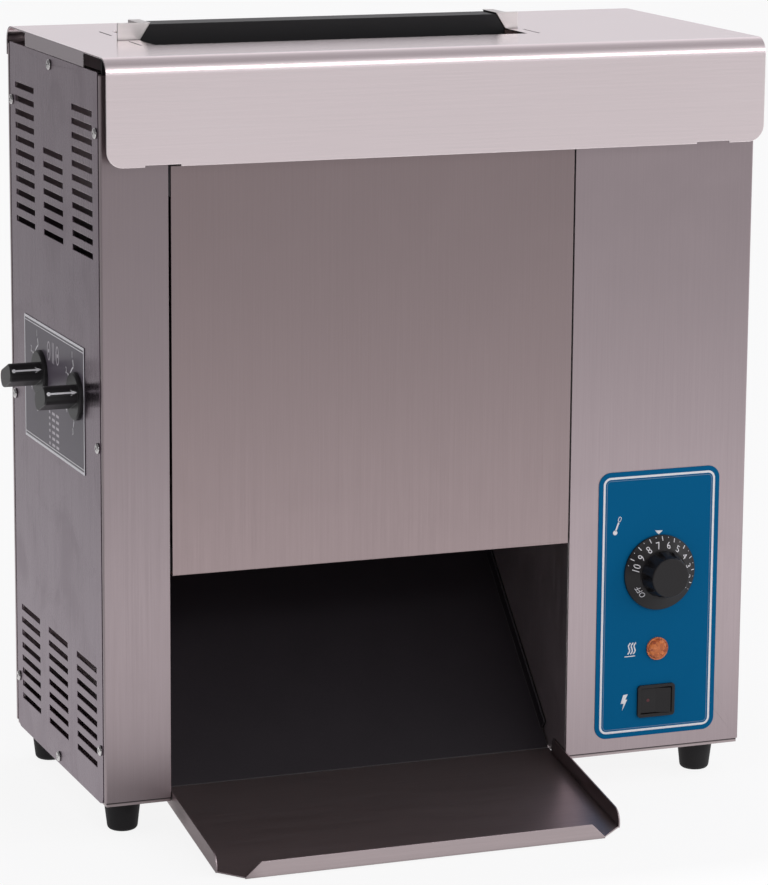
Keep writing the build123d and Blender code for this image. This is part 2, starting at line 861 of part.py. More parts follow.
def conveyor_frame(axis_y, knob_y, side):
    low, high = idler_axis_height, drive_axis_height
    solids = []
    for x0 in (frame_left, frame_right - frame_plate):
        x1 = x0 + frame_plate
        plate = block(x0, x1, axis_y - frame_plate_radius, axis_y + frame_plate_radius, low, high)
        plate += rod_x(x0, x1, axis_y, low, frame_plate_radius)
        plate += rod_x(x0, x1, axis_y, high, frame_plate_radius)
        plate -= rod_x(x0 - overrun, x1 + overrun, axis_y, low, idler_shaft_radius + run_gap)
        plate -= rod_x(x0 - overrun, x1 + overrun, axis_y, high, drive_shaft_radius + run_gap)
        plate -= block(x0 - overrun, x1 + overrun, knob_y - cam_slot_half, knob_y + cam_slot_half,
                       knob_height - cam_throw - cam_slot_half, knob_height + cam_slot_half)
        solids.append(plate)
    y0, y1 = sorted((axis_y - side * crossbar_back, axis_y + side * pressure_plate_offset))
    for z in crossbar_heights:
        solids.append(block(frame_left, frame_right, y0, y1, z, z + frame_plate))
    y0, y1 = sorted((axis_y + side * pressure_plate_offset,
                     axis_y + side * (pressure_plate_offset + pressure_plate)))
    facing = block(frame_left, frame_right, y0, y1, pressure_plate_low, pressure_plate_high)
    notch_half = cam_shaft_radius + pressure_notch_margin
    facing -= block(frame_left + frame_plate, frame_right - frame_plate, y0 - overrun, y1 + overrun,
                    knob_height - notch_half, knob_height + notch_half)
    keep_out = block(chamber_left, chamber_right, knob_y - cam_slot_half, knob_y + cam_slot_half,
                     knob_height - cam_throw - cam_slot_half, knob_height + cam_slot_half)
    return solids[0] + solids[1:] + (facing - keep_out)


def front_conveyor_frame():
    return conveyor_frame(front_conveyor_y, front_knob_y, 1)


def rear_conveyor_frame():
    return conveyor_frame(rear_conveyor_y, rear_knob_y, -1)


def belt(axis_y):
    wheels = ((axis_y, idler_axis_height, belt_line_radius, 1),
              (axis_y, drive_axis_height, belt_line_radius, 1))
    return strap(roller_left + belt_inset, roller_right - belt_inset, wheels, belt_thickness)


def front_belt():
    return belt(front_conveyor_y)


def rear_belt():
    return belt(rear_conveyor_y)


def sprocket(y, z, pitch_radius):
    tip = pitch_radius - chain_height / 2 - sprocket_gap
    wheel = rod_x(chain_left, chain_right, y, z, tip)
    notches = []
    for tooth in range(sprocket_teeth):
        angle = 2 * math.pi * tooth / sprocket_teeth
        notches.append(rod_x(chain_left - overrun, chain_right + overrun, y + tip * math.cos(angle),
                             z + tip * math.sin(angle), sprocket_notch))
    return wheel - notches


def drive_roller(axis_y):
    z = drive_axis_height
    roller = rod_x(roller_left, roller_right, axis_y, z, roller_radius)
    shaft_start = chamber_left - sheet - bush_lip_thickness
    shaft = rod_x(shaft_start, chain_right + sprocket_hub_length, axis_y, z, drive_shaft_radius)
    hub = rod_x(chain_left, chain_right + sprocket_hub_length, axis_y, z, sprocket_hub_radius)
    return roller + shaft + hub + sprocket(axis_y, z, drive_sprocket_radius)


def front_drive_roller():
    return drive_roller(front_conveyor_y)


def rear_drive_roller():
    return drive_roller(rear_conveyor_y)


def idler_roller(axis_y):
    z = idler_axis_height
    roller = rod_x(roller_left, roller_right, axis_y, z, roller_radius)
    return roller + rod_x(frame_left, frame_right, axis_y, z, idler_shaft_radius)


def front_idler_roller():
    return idler_roller(front_conveyor_y)


def rear_idler_roller():
    return idler_roller(rear_conveyor_y)


def cam_shaft(knob_y):
    shaft = rod_x(-knob_standoff - knob_bore_depth, chamber_right + sheet + cam_end_reach, knob_y,
                  knob_height, cam_shaft_radius)
    for plate_x0 in (frame_left, frame_right - frame_plate):
        middle = plate_x0 + frame_plate / 2
        shaft += rod_x(middle - cam_width / 2, middle + cam_width / 2, knob_y, knob_height - cam_throw,
                       cam_radius)
    return shaft


def front_cam_shaft():
    return cam_shaft(front_knob_y)


def rear_cam_shaft():
    return cam_shaft(rear_knob_y)


def compression_knob(knob_y):
    skirt_back = -knob_standoff
    skirt = rod_x(skirt_back - knob_skirt, skirt_back, knob_y, knob_height, knob_skirt_radius)
    rim = skirt.edges().filter_by(GeomType.CIRCLE).group_by(Axis.X)[0]
    skirt = fillet(rim, knob_edge)
    grip = plate_x(-knob_tip, skirt_back - knob_skirt / 2, knob_y - knob_grip_length / 2,
                   knob_y + knob_grip_length / 2, knob_height - knob_grip_height / 2,
                   knob_height + knob_grip_height / 2, knob_grip_corner)
    tip_edges = grip.edges().group_by(Axis.X)[0]
    knob_axis = Axis((0, knob_y, knob_height), (1, 0, 0))
    grip = fillet(tip_edges, knob_edge).rotate(knob_axis, -knob_rest_turn)
    bore = rod_x(-knob_standoff - knob_bore_depth, overrun, knob_y, knob_height,
                 cam_shaft_radius + hole_gap)
    return skirt + grip - bore


def front_compression_knob():
    return compression_knob(front_knob_y)


def rear_compression_knob():
    return compression_knob(rear_knob_y)


def knob_label():
    plate = plate_x(-label_thickness, 0, label_front, label_back, label_low, label_high, label_corner)
    return plate - [rod_x(-overrun, overrun, y, knob_height, label_hole_radius)
                    for y in (front_knob_y, rear_knob_y)]


def control_overlay():
    plate = plate_y(overlay_left, overlay_right, -overlay_thickness, 0, overlay_low, overlay_high,
                    overlay_corner)
    dial_hole = rod_y(-overrun, overrun, dial_x, dial_z, thermostat_bush_radius + hole_gap)
    lamp_hole = rod_y(-overrun, overrun, lamp_x, lamp_z, lamp_body_radius + hole_gap)
    return plate - dial_hole - lamp_hole - switch_hole()


def thermostat_dial():
    face_out = Pos(dial_x, -overlay_thickness - dial_standoff, dial_z) * Rot(90, 0, 0)
    rim = Cylinder(dial_radius, dial_rim, align=on_base)
    skirt = Pos(0, 0, dial_rim) * Cone(dial_radius, dial_shoulder_radius, dial_skirt_height - dial_rim,
                                       align=on_base)
    hub = Cone(dial_hub_base_radius, dial_hub_radius, dial_hub_height, align=on_base)
    hub = Pos(0, 0, dial_skirt_height) * hub
    hub_edge = hub.edges().filter_by(GeomType.CIRCLE).group_by(Axis.Z)[-1]
    hub = fillet(hub_edge, knob_edge)
    flutes = []
    for flute in range(dial_flutes):
        angle = 2 * math.pi * flute / dial_flutes
        reach = dial_hub_radius + dial_flute_radius
        place = Pos(reach * math.cos(angle), reach * math.sin(angle), dial_skirt_height)
        flutes.append(place * Cylinder(dial_flute_radius, dial_hub_height, align=on_base))
    dial = face_out * (rim + skirt + (hub - flutes))
    shaft_back = sheet + dial_shaft_length
    return dial + rod_y(-overlay_thickness - dial_standoff, shaft_back, dial_x, dial_z, dial_shaft_radius)


def thermostat_body():
    half_width, half_height = thermostat_width / 2, thermostat_height / 2
    body = block(dial_x - half_width, dial_x + half_width, sheet, sheet + thermostat_depth,
                 dial_z - half_height, dial_z + half_height)
    body += rod_y(sheet - thermostat_bush_length, sheet, dial_x, dial_z, thermostat_bush_radius)
    return body - rod_y(-overrun, sheet + dial_shaft_length + overrun, dial_x, dial_z,
                        dial_shaft_radius + run_gap)


def capillary():
    bulb_end = chamber_right + sheet
    bulb = rod_x(platen_right - bulb_length, bulb_end, platen_middle, bulb_height, bulb_radius)
    start = (bulb_end, platen_middle, bulb_height)
    outward = (bulb_end + capillary_run, platen_middle, bulb_height)
    finish = (dial_x, sheet + thermostat_depth, dial_z)
    inward = (dial_x, sheet + thermostat_depth + capillary_run, dial_z)
    route = FilletPolyline(start, outward, inward, finish, radius=capillary_bend)
    section = Plane(origin=start, z_dir=(1, 0, 0)) * Circle(capillary_radius)
    return bulb + sweep(section, path=route)


def lamp_body():
    face = -overlay_thickness
    rim = rod_y(face - lamp_rim, face, lamp_x, lamp_z, lamp_rim_radius)
    body = rod_y(face, sheet + lamp_body_length, lamp_x, lamp_z, lamp_body_radius)
    seat = rod_y(face - lamp_rim - overrun, face - lamp_rim + lamp_lens_seat, lamp_x, lamp_z,
                 lamp_lens_radius + hole_gap)
    return rim + body - seat


def lamp_lens():
    back = -overlay_thickness - lamp_rim + lamp_lens_seat
    lens = rod_y(back - lamp_lens_seat - lamp_dome_height, back, lamp_x, lamp_z, lamp_lens_radius)
    front_edge = lens.edges().filter_by(GeomType.CIRCLE).group_by(Axis.Y)[0]
    return fillet(front_edge, lamp_dome_height)


def switch_housing():
    face = -overlay_thickness
    half_width, half_height = switch_width / 2, switch_height / 2
    rim = plate_y(switch_x - half_width, switch_x + half_width, face - switch_rim, face,
                  switch_z - half_height, switch_z + half_height, switch_corner)
    inset = switch_body_inset
    body = block(switch_x - half_width + inset, switch_x + half_width - inset, face, switch_depth,
                 switch_z - half_height + inset, switch_z + half_height - inset)
    well = block(switch_x - half_width + switch_lip, switch_x + half_width - switch_lip,
                 face - switch_rim - overrun, switch_well_depth, switch_z - half_height + switch_lip,
                 switch_z + half_height - switch_lip)
    return rim + body - well - rocker_pin(run_gap)


def rocker_pin(gap):
    reach = switch_height / 2 - switch_body_inset
    return rod_z(switch_z - reach, switch_z + reach, switch_x, rocker_pivot_depth, rocker_pin_radius + gap)


def power_rocker():
    low = switch_z - switch_height / 2 + switch_lip + rocker_gap
    high = switch_z + switch_height / 2 - switch_lip - rocker_gap
    outline = ((-rocker_half, rocker_back), (-rocker_half, -rocker_end_stand), (0, -rocker_mid_stand),
               (rocker_half, -rocker_end_stand), (rocker_half, rocker_back))
    turned = []
    tilt = -math.radians(rocker_tilt)
    for across, depth in outline:
        arm = depth - rocker_pivot_depth
        turned.append((across * math.cos(tilt) - arm * math.sin(tilt),
                       across * math.sin(tilt) + arm * math.cos(tilt) + rocker_pivot_depth))
    rocker = extrude(make_face(Polyline(*turned, close=True)), high - low)
    return Pos(switch_x, 0, low) * rocker + rocker_pin(0)


def chute_frame():
    return Pos(0, tray_rear_y, tray_rear_z) * Rot(chute_slope, 0, 0)


def landing_tray():
    left, right = chamber_left + tray_side_gap, chamber_right - tray_side_gap
    front = -tray_length
    outline = ((left, 0), (right, 0), (right, front + tray_corner_y), (right - tray_corner_x, front),
               (left + tray_corner_x, front), (left, front + tray_corner_y))
    floor = Pos(0, 0, -sheet) * extrude(make_face(Polyline(*outline, close=True)), sheet)
    wall_length = tray_wall_front - tray_wall_rear
    wall = block(0, sheet, -tray_wall_front, -tray_wall_rear, -sheet, tray_wall_height)
    nose = wall.edges().filter_by(Axis.X).group_by(Axis.Z)[-1].sort_by(Axis.Y)[0]
    wall = fillet(nose, min(tray_wall_round, wall_length / 2))
    walls = [Pos(left, 0, 0) * wall, Pos(right - sheet, 0, 0) * wall]
    base0, base1 = left + tray_corner_x, right - tray_corner_x
    lip_outline = ((base0, -sheet), (base1, -sheet), (base1, 0),
                   (base1 - tray_lip_bevel, tray_wall_height),
                   (base0 + tray_lip_bevel, tray_wall_height), (base0, 0))
    lip = slab_y(front - sheet, front, lip_outline)
    tray = floor + walls + lip
    return Pos(0, tray_rear_y, tray_rear_z) * Rot(tray_slope, 0, 0) * tray


def discharge_chute():
    left, right = chamber_left + chute_wall_gap, chamber_right - chute_wall_gap
    plate = block(left, right, seat_gap, chute_length, -sheet, 0)
    for x in (left, right - sheet):
        plate += block(x, x + sheet, 2 * chute_flange, chute_length, -sheet, chute_flange)
    chute = chute_frame() * plate
    clip = tray_rear_y + seat_gap
    return chute - block(0, cabinet_width, -overrun, clip, -tray_wall_height, tray_wall_height)


def chute_rails():
    rails = []
    for x in (chamber_left, chamber_right - chute_rail_width):
        under = -sheet - seat_gap
        rail = block(x, x + chute_rail_width, chute_rail_start, chute_rail_start + chute_rail_length,
                     under - chute_rail_thickness, under)
        rails.append(chute_frame() * rail)
    return group(rails)


def feet():
    solids = []
    for x, y in foot_places():
        foot = Cone(foot_bottom_radius, foot_top_radius, foot_height, align=on_base)
        base_edge = foot.edges().filter_by(GeomType.CIRCLE).group_by(Axis.Z)[0]
        foot = fillet(base_edge, foot_edge)
        bore = rod_z(-overrun, foot_bore_depth, 0, 0, foot_bore_radius)
        hole = rod_z(0, foot_height + overrun, 0, 0, screw_shank_radius + hole_gap)
        solids.append(Pos(x, y, -foot_height) * (foot - bore - hole))
    return group(solids)


def side_screw(y, z):
    head = rod_x(-screw_head_height, 0, y, z, screw_head_radius)
    rim = head.edges().filter_by(GeomType.CIRCLE).group_by(Axis.X)[0]
    head = fillet(rim, screw_head_edge)
    return head + rod_x(0, screw_shank_length, y, z, screw_shank_radius)


def case_screws():
    screws = []
    for y, z in screw_places():
        screw = side_screw(y, z)
        screws += [screw, mirror_sides(screw)]
    seat = foot_bore_depth - foot_height
    for x, y in foot_places():
        head = rod_z(seat - screw_head_height, seat, x, y, screw_head_radius)
        screws.append(head + rod_z(seat, screw_shank_length, x, y, screw_shank_radius))
    return group(screws)


def gearmotor():
    y0 = motor_y - gearbox_length / 2
    z0 = motor_z - gearbox_height / 2
    box = block(gearbox_left, gearbox_left + gearbox_width, y0, y0 + gearbox_length, z0,
                z0 + gearbox_height)
    box = fillet(box.edges().filter_by(Axis.X), motor_edge)
    start = gearbox_left + gearbox_width
    motor = rod_x(start, start + motor_length, motor_y, motor_z, motor_radius)
    end_edge = motor.edges().filter_by(GeomType.CIRCLE).group_by(Axis.X)[-1]
    motor = fillet(end_edge, motor_edge)
    bore = rod_x(gearbox_left - overrun, gearbox_left + motor_shaft_bore, motor_y, motor_z,
                 motor_shaft_radius + run_gap)
    return box + motor - bore


def motor_bracket():
    y0, y1 = motor_y - motor_bracket_length / 2, motor_y + motor_bracket_length / 2
    z0, z1 = motor_z - motor_bracket_height / 2, motor_z + motor_bracket_height / 2
    plate = block(bracket_x, gearbox_left, y0, y1, z0, z1)
    plate -= rod_x(bracket_x - overrun, gearbox_left + overrun, motor_y, motor_z,
                   motor_shaft_radius + seat_gap)
    for y in (y0 + motor_post_inset, y1 - motor_post_inset):
        for z in (z0 + motor_post_inset, z1 - motor_post_inset):
            plate += rod_x(chamber_right + sheet, bracket_x, y, z, motor_post_radius)
    return plate


def motor_sprocket():
    shaft = rod_x(chain_left, gearbox_left + motor_shaft_bore - seat_gap, motor_y, motor_z,
                  motor_shaft_radius)
    return shaft + sprocket(motor_y, motor_z, motor_sprocket_radius)


def chain_idler_sprocket():
    wheel = sprocket(chain_idler_y, chain_idler_z, idler_sprocket_radius)
    return wheel - rod_x(chain_left - overrun, chain_right + overrun, chain_idler_y, chain_idler_z,
                         chain_stud_radius + run_gap)


def drive_chain():
    wheels = ((motor_y, motor_z, motor_sprocket_radius, 1),
              (chain_idler_y, chain_idler_z, idler_sprocket_radius, 1),
              (rear_conveyor_y, drive_axis_height, drive_sprocket_radius, -1),
              (front_conveyor_y, drive_axis_height, drive_sprocket_radius, 1))
    return strap(chain_left, chain_right, wheels, chain_height)


def fan_frame():
    half = fan_size / 2
    back = cabinet_depth - sheet
    front = back - fan_depth
    frame = plate_y(fan_x - half, fan_x + half, front, back, fan_z - half, fan_z + half, fan_corner)
    frame -= rod_y(front - overrun, back + overrun, fan_x, fan_z, fan_bore_radius)
    frame += rod_y(front, front + fan_boss_depth, fan_x, fan_z, fan_boss_radius)
    for strut in range(fan_struts):
        arm = Box(fan_bore_radius + fan_boss_depth / 2, fan_boss_depth / 2, fan_strut,
                  align=(Align.MIN, Align.MIN, Align.CENTER))
        frame += Pos(fan_x, front, fan_z) * Rot(0, 360 * strut / fan_struts, 0) * arm
    return frame - rod_y(front - overrun, front + fan_boss_depth + overrun, fan_x, fan_z,
                         fan_shaft_radius + run_gap)


def fan_impeller():
    front = cabinet_depth - sheet - fan_depth + fan_boss_depth + seat_gap
    wheel = rod_y(front, front + fan_hub_depth, fan_x, fan_z, fan_hub_radius)
    reach = fan_blade_radius - fan_hub_radius / 2
    for blade in range(fan_blades):
        vane = Box(reach, fan_blade_sheet, fan_blade_chord, align=(Align.MIN, Align.CENTER, Align.CENTER))
        vane = Pos(fan_hub_radius / 2, 0, 0) * Rot(fan_blade_pitch, 0, 0) * vane
        middle = Pos(fan_x, front + fan_hub_depth / 2, fan_z)
        wheel += middle * Rot(0, 360 * blade / fan_blades, 0) * vane
    return wheel + rod_y(front - fan_boss_depth, front, fan_x, fan_z, fan_shaft_radius)


def fan_guard():
    face = cabinet_depth
    span = fan_bore_radius + guard_wire
    guard = None
    for ring in range(guard_rings):
        outer = span + guard_wire - ring * guard_pitch
        hoop = rod_y(face, face + guard_wire, fan_x, fan_z, outer)
        hoop -= rod_y(face - overrun, face + overrun, fan_x, fan_z, outer - guard_wire)
        guard = hoop if guard is None else guard + hoop
    for index in range(guard_bars):
        bar = Box(2 * span + guard_wire, guard_wire, guard_wire,
                  align=(Align.CENTER, Align.MIN, Align.CENTER))
        turn = 180 * (index + 1 / 2) / guard_bars
        guard += Pos(fan_x, face, fan_z) * Rot(0, turn, 0) * bar
    return guard


def terminal_block():
    body = block(terminal_x, terminal_x + terminal_length, terminal_y, terminal_y + terminal_width,
                 sheet, sheet + terminal_height)
    pitch = terminal_length / terminal_ways
    far = terminal_y + terminal_width
    seats = ((terminal_y - overrun, terminal_y + terminal_step), (far - terminal_step, far + overrun))
    for y0, y1 in seats:
        for way in range(terminal_ways):
            x0 = terminal_x + way * pitch + sheet
            body -= block(x0, x0 + pitch - 2 * sheet, y0, y1, sheet + terminal_height - terminal_step,
                          sheet + terminal_height + overrun)
    return body


def high_limit():
    back = cabinet_depth - sheet
    body = rod_y(back - limit_depth, back, limit_x, limit_z, limit_radius)
    body += rod_y(back, back + sheet + reset_collar, limit_x, limit_z, reset_collar_radius)
    bore_start = cabinet_depth + reset_stand + reset_collar - reset_length - reset_travel - seat_gap
    return body - rod_y(bore_start, cabinet_depth + overrun, limit_x, limit_z, reset_radius + run_gap)


def reset_button():
    tip = cabinet_depth + reset_collar + reset_stand
    button = rod_y(tip - reset_length, tip, limit_x, limit_z, reset_radius)
    tip_edge = button.edges().filter_by(GeomType.CIRCLE).group_by(Axis.Y)[-1]
    return fillet(tip_edge, screw_head_edge)


def wiring_loom():
    start = (terminal_x + terminal_length / 2, terminal_y + terminal_width / 2, sheet + terminal_height)
    upward = (start[0], start[1], start[2] + loom_rise)
    finish = (switch_x, switch_depth, switch_z)
    inward = (switch_x, switch_depth + loom_run, switch_z)
    route = FilletPolyline(start, upward, inward, finish, radius=list(loom_bends))
    section = Plane(origin=start, z_dir=(0, 0, 1)) * Circle(loom_radius)
    return sweep(section, path=route)


def cord_gland():
    back = cabinet_depth
    nut = Pos(gland_x, back, gland_z) * Rot(-90, 0, 0) * extrude(RegularPolygon(gland_nut_radius, 6),
                                                                 gland_nut)
    cap = rod_y(back + gland_nut, back + gland_nut + gland_cap, gland_x, gland_z, gland_cap_radius)
    thread = rod_y(back - 2 * gland_nut, back, gland_x, gland_z, gland_thread_radius)
    lock = rod_y(back - sheet - gland_nut / 2, back - sheet, gland_x, gland_z, gland_nut_radius)
    bore = rod_y(back - 2 * gland_nut - overrun, back + gland_nut + gland_cap + overrun, gland_x,
                 gland_z, gland_bore_radius)
    return nut + cap + thread + lock - bore


pieces = (
    base_pan, feet, case_screws, left_front_stile, control_panel, left_side_panel, right_side_panel,
    rear_panel, frame_rails, left_inner_wall, right_inner_wall, wall_bushes, hood, bun_feeder,
    feeder_caps, front_cover, rear_cover, thumb_screws, platen, platen_heaters, platen_brackets,
    release_sheet, front_conveyor_frame, rear_conveyor_frame, front_belt, rear_belt,
    front_drive_roller, rear_drive_roller, front_idler_roller, rear_idler_roller, front_cam_shaft,
    rear_cam_shaft, front_compression_knob, rear_compression_knob, knob_label, control_overlay,
    thermostat_dial, thermostat_body, capillary, lamp_body, lamp_lens, switch_housing, power_rocker,
    landing_tray, discharge_chute, chute_rails, gearmotor, motor_bracket, motor_sprocket,
    chain_idler_sprocket, drive_chain, fan_frame, fan_impeller, fan_guard, terminal_block,
    high_limit, reset_button, wiring_loom, cord_gland,
)

os.makedirs("parts", exist_ok=True)
for make_piece in pieces:
    solid = origin * make_piece()
    export_step(solid, f"parts/{make_piece.__name__}.step")
print(len(pieces), "pieces; origin moved by", [round(value, 3) for value in tuple(origin.position)])
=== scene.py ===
import json
import math

import bmesh
import bpy
from mathutils import Matrix, Vector


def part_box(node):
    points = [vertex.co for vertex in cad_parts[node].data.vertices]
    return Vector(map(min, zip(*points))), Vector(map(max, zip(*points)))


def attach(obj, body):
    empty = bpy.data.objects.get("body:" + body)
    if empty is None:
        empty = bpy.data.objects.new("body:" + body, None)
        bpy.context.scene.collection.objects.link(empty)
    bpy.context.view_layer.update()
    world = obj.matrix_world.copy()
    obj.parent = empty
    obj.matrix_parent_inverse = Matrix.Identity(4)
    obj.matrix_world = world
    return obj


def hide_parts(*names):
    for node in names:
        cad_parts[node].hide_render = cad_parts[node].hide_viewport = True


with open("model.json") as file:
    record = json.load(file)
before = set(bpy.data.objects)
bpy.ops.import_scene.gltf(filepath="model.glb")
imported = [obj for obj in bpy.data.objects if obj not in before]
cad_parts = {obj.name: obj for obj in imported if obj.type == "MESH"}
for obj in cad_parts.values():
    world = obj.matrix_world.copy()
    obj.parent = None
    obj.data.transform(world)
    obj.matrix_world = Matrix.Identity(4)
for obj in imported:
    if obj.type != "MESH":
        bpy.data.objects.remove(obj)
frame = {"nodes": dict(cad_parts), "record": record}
bpy.context.view_layer.update()
nodes = frame["nodes"]
mm = 0.001
cabinetCorner = Vector((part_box("left_side_panel")[0].x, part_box("control_panel")[0].y,
                        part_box("left_side_panel")[0].z))
print("toaster: frame loaded,", len(nodes), "nodes")


def at(x, y, z):  # cabinet millimetres to frame metres
    return cabinetCorner + Vector((x, y, z)) * mm


# small helpers for shader trees

def addNode(tree, kind, inputs=None, **settings):
    made = tree.nodes.new(kind)
    for key, value in settings.items():
        setattr(made, key, value)
    for key, value in (inputs or {}).items():
        if isinstance(value, bpy.types.NodeSocket):
            tree.links.new(value, made.inputs[key])
        else:
            made.inputs[key].default_value = value
    return made


def feed(tree, node, sockets):
    for name, socket in sockets.items():
        tree.links.new(socket, node.inputs[name])


def newGroup(name, inputs, outputs):
    tree = bpy.data.node_groups.new(name, "ShaderNodeTree")
    for label, kind, value in inputs:
        tree.interface.new_socket(name=label, in_out="INPUT", socket_type=kind).default_value = value
    for label, kind in outputs:
        tree.interface.new_socket(name=label, in_out="OUTPUT", socket_type=kind)
    return tree, tree.nodes.new("NodeGroupInput"), tree.nodes.new("NodeGroupOutput")


def placeGroup(tree, group, **values):
    placed = addNode(tree, "ShaderNodeGroup", node_tree=group)
    for name, value in values.items():
        placed.inputs[name].default_value = value
    return placed


def mathNode(tree, operation, a, b=0.0, clamp=False):
    return addNode(tree, "ShaderNodeMath", {0: a, 1: b}, operation=operation, use_clamp=clamp).outputs[0]


def product(tree, first, *others):
    for value in others:
        first = mathNode(tree, "MULTIPLY", first, value)
    return first


def noiseNode(tree, where, scale, detail, roughness=0.5, distortion=0.0):
    inputs = {"Vector": where, "Scale": scale, "Detail": detail, "Roughness": roughness,
              "Distortion": distortion}
    return addNode(tree, "ShaderNodeTexNoise", inputs).outputs[0]


def rampNode(tree, value, low, high, lowTone, highTone, kind="LINEAR"):
    inputs = {"Value": value, "From Min": low, "From Max": high, "To Min": lowTone, "To Max": highTone}
    return addNode(tree, "ShaderNodeMapRange", inputs, interpolation_type=kind).outputs[0]


def mixNode(tree, factor, first, second):
    inputs = {"Factor": factor, 6: first, 7: second}
    return addNode(tree, "ShaderNodeMix", inputs, data_type="RGBA").outputs[2]


def scaleNode(tree, color, tone):
    return addNode(tree, "ShaderNodeVectorMath", {0: color, 3: tone}, operation="SCALE").outputs[0]


def splitNode(tree, vector):
    return addNode(tree, "ShaderNodeSeparateXYZ", {0: vector}).outputs


def ownPlace(tree):  # where a point lies in its piece's own metres
    return addNode(tree, "ShaderNodeTexCoord").outputs["Object"]


# streaks of a rolled and brushed sheet, long along one axis, with a broad unevenness under them
grainLook = dict(fine=(1.0, 6.0, 0.7), fineShare=0.65, coarse=(0.23, 3.0, 0.6), coarseShare=0.35,
                 broad=(7.0, 2.0), unevenness=0.05, swing=4.0, polish=-0.9)


def makeGrainGroup():
    look = grainLook
    tree, given, result = newGroup("sheetGrain", [
        ("Base", "NodeSocketColor", (0.5, 0.5, 0.5, 1)),
        ("Streaks", "NodeSocketVector", (1200, 1200, 9)),
        ("Contrast", "NodeSocketFloat", 0.12),
        ("Unevenness", "NodeSocketFloat", look["unevenness"]),
        ("Roughness", "NodeSocketFloat", 0.3)],
        [("Color", "NodeSocketColor"), ("Roughness", "NodeSocketFloat"), ("Height", "NodeSocketFloat")])
    where = ownPlace(tree)
    stretched = addNode(tree, "ShaderNodeVectorMath", {0: where, 1: given.outputs["Streaks"]},
                        operation="MULTIPLY").outputs[0]
    fine = noiseNode(tree, stretched, *look["fine"])
    coarse = noiseNode(tree, stretched, *look["coarse"])
    streak = mathNode(tree, "ADD", product(tree, fine, look["fineShare"]),
                      product(tree, coarse, look["coarseShare"]))
    centred = mathNode(tree, "SUBTRACT", streak, 0.5)
    broad = mathNode(tree, "SUBTRACT", noiseNode(tree, where, *look["broad"]), 0.5)
    drift = product(tree, broad, given.outputs["Unevenness"])
    swing = product(tree, centred, look["swing"], given.outputs["Contrast"])
    tone = mathNode(tree, "ADD", mathNode(tree, "ADD", swing, drift), 1.0)
    polished = mathNode(tree, "ADD", 1.0, product(tree, centred, look["polish"]))
    feed(tree, result, {"Color": scaleNode(tree, given.outputs["Base"], tone), "Height": streak,
                        "Roughness": product(tree, given.outputs["Roughness"], polished)})
    return tree


# bright edges, found where a rounded normal leaves the true one: partly rubbed wear, partly a painted
# highlight
edgeWearAndHighlightLook = dict(width=0.0008, samples=4, sharpness=6.0, breaks=(90.0, 3.0), leastShare=0.45)


def makeEdgeGroup():
    look = edgeWearAndHighlightLook
    tree, given, result = newGroup("rubbedEdgesAndHighlights", [
        ("Width", "NodeSocketFloat", look["width"]), ("Amount", "NodeSocketFloat", 0.6)],
        [("Mask", "NodeSocketFloat"), ("Normal", "NodeSocketVector")])
    rounded = addNode(tree, "ShaderNodeBevel", {"Radius": given.outputs["Width"]},
                      samples=look["samples"]).outputs[0]
    plain = addNode(tree, "ShaderNodeNewGeometry").outputs["Normal"]
    match = addNode(tree, "ShaderNodeVectorMath", {0: rounded, 1: plain},
                    operation="DOT_PRODUCT").outputs["Value"]
    away = mathNode(tree, "SUBTRACT", 1.0, match)
    leave = mathNode(tree, "MULTIPLY", away, look["sharpness"], clamp=True)
    broken = noiseNode(tree, ownPlace(tree), *look["breaks"])
    part = product(tree, leave, mathNode(tree, "ADD", look["leastShare"], broken))
    feed(tree, result, {"Mask": mathNode(tree, "MULTIPLY", part, given.outputs["Amount"], clamp=True),
                        "Normal": rounded})
    return tree


# dark seams and undersides, where little light reaches a few millimetres in
seamLook = dict(reach=0.004, shut=0.12, open=0.82, amount=0.85, samples=6, tone=(0.012, 0.011, 0.012, 1))


def makeSeamGroup():
    look = seamLook
    tree, given, result = newGroup("seamShade", [
        ("Reach", "NodeSocketFloat", look["reach"]), ("Open", "NodeSocketFloat", look["open"]),
        ("Amount", "NodeSocketFloat", look["amount"])],
        [("Mask", "NodeSocketFloat")])
    near = addNode(tree, "ShaderNodeAmbientOcclusion", {"Distance": given.outputs["Reach"]},
                   samples=look["samples"]).outputs["AO"]
    shut = rampNode(tree, near, look["shut"], given.outputs["Open"], 1.0, 0.0, "SMOOTHSTEP")
    feed(tree, result, {"Mask": product(tree, shut, given.outputs["Amount"])})
    return tree


# faint wiping marks and settled dust, as a mask
smudgeLook = dict(size=14.0, detail=5.0, roughness=0.62, distortion=0.8, low=0.42, high=0.72)


def makeSmudgeGroup():
    look = smudgeLook
    tree, given, result = newGroup("wipedSmudges", [
        ("Size", "NodeSocketFloat", look["size"]), ("Amount", "NodeSocketFloat", 0.3)],
        [("Mask", "NodeSocketFloat")])
    bent = noiseNode(tree, ownPlace(tree), given.outputs["Size"], look["detail"], look["roughness"],
                     look["distortion"])
    shaped = rampNode(tree, bent, look["low"], look["high"], 0.0, 1.0, "SMOOTHSTEP")
    feed(tree, result, {"Mask": product(tree, shaped, given.outputs["Amount"])})
    return tree


# the small pitting of moulded, cast and powder-coated skins
skinLook = dict(pitDetail=3.0, pitShare=0.6, broad=(22.0, 4.0), broadShare=0.4, swing=4.0,
                leastRough=0.92, roughSwing=0.16)


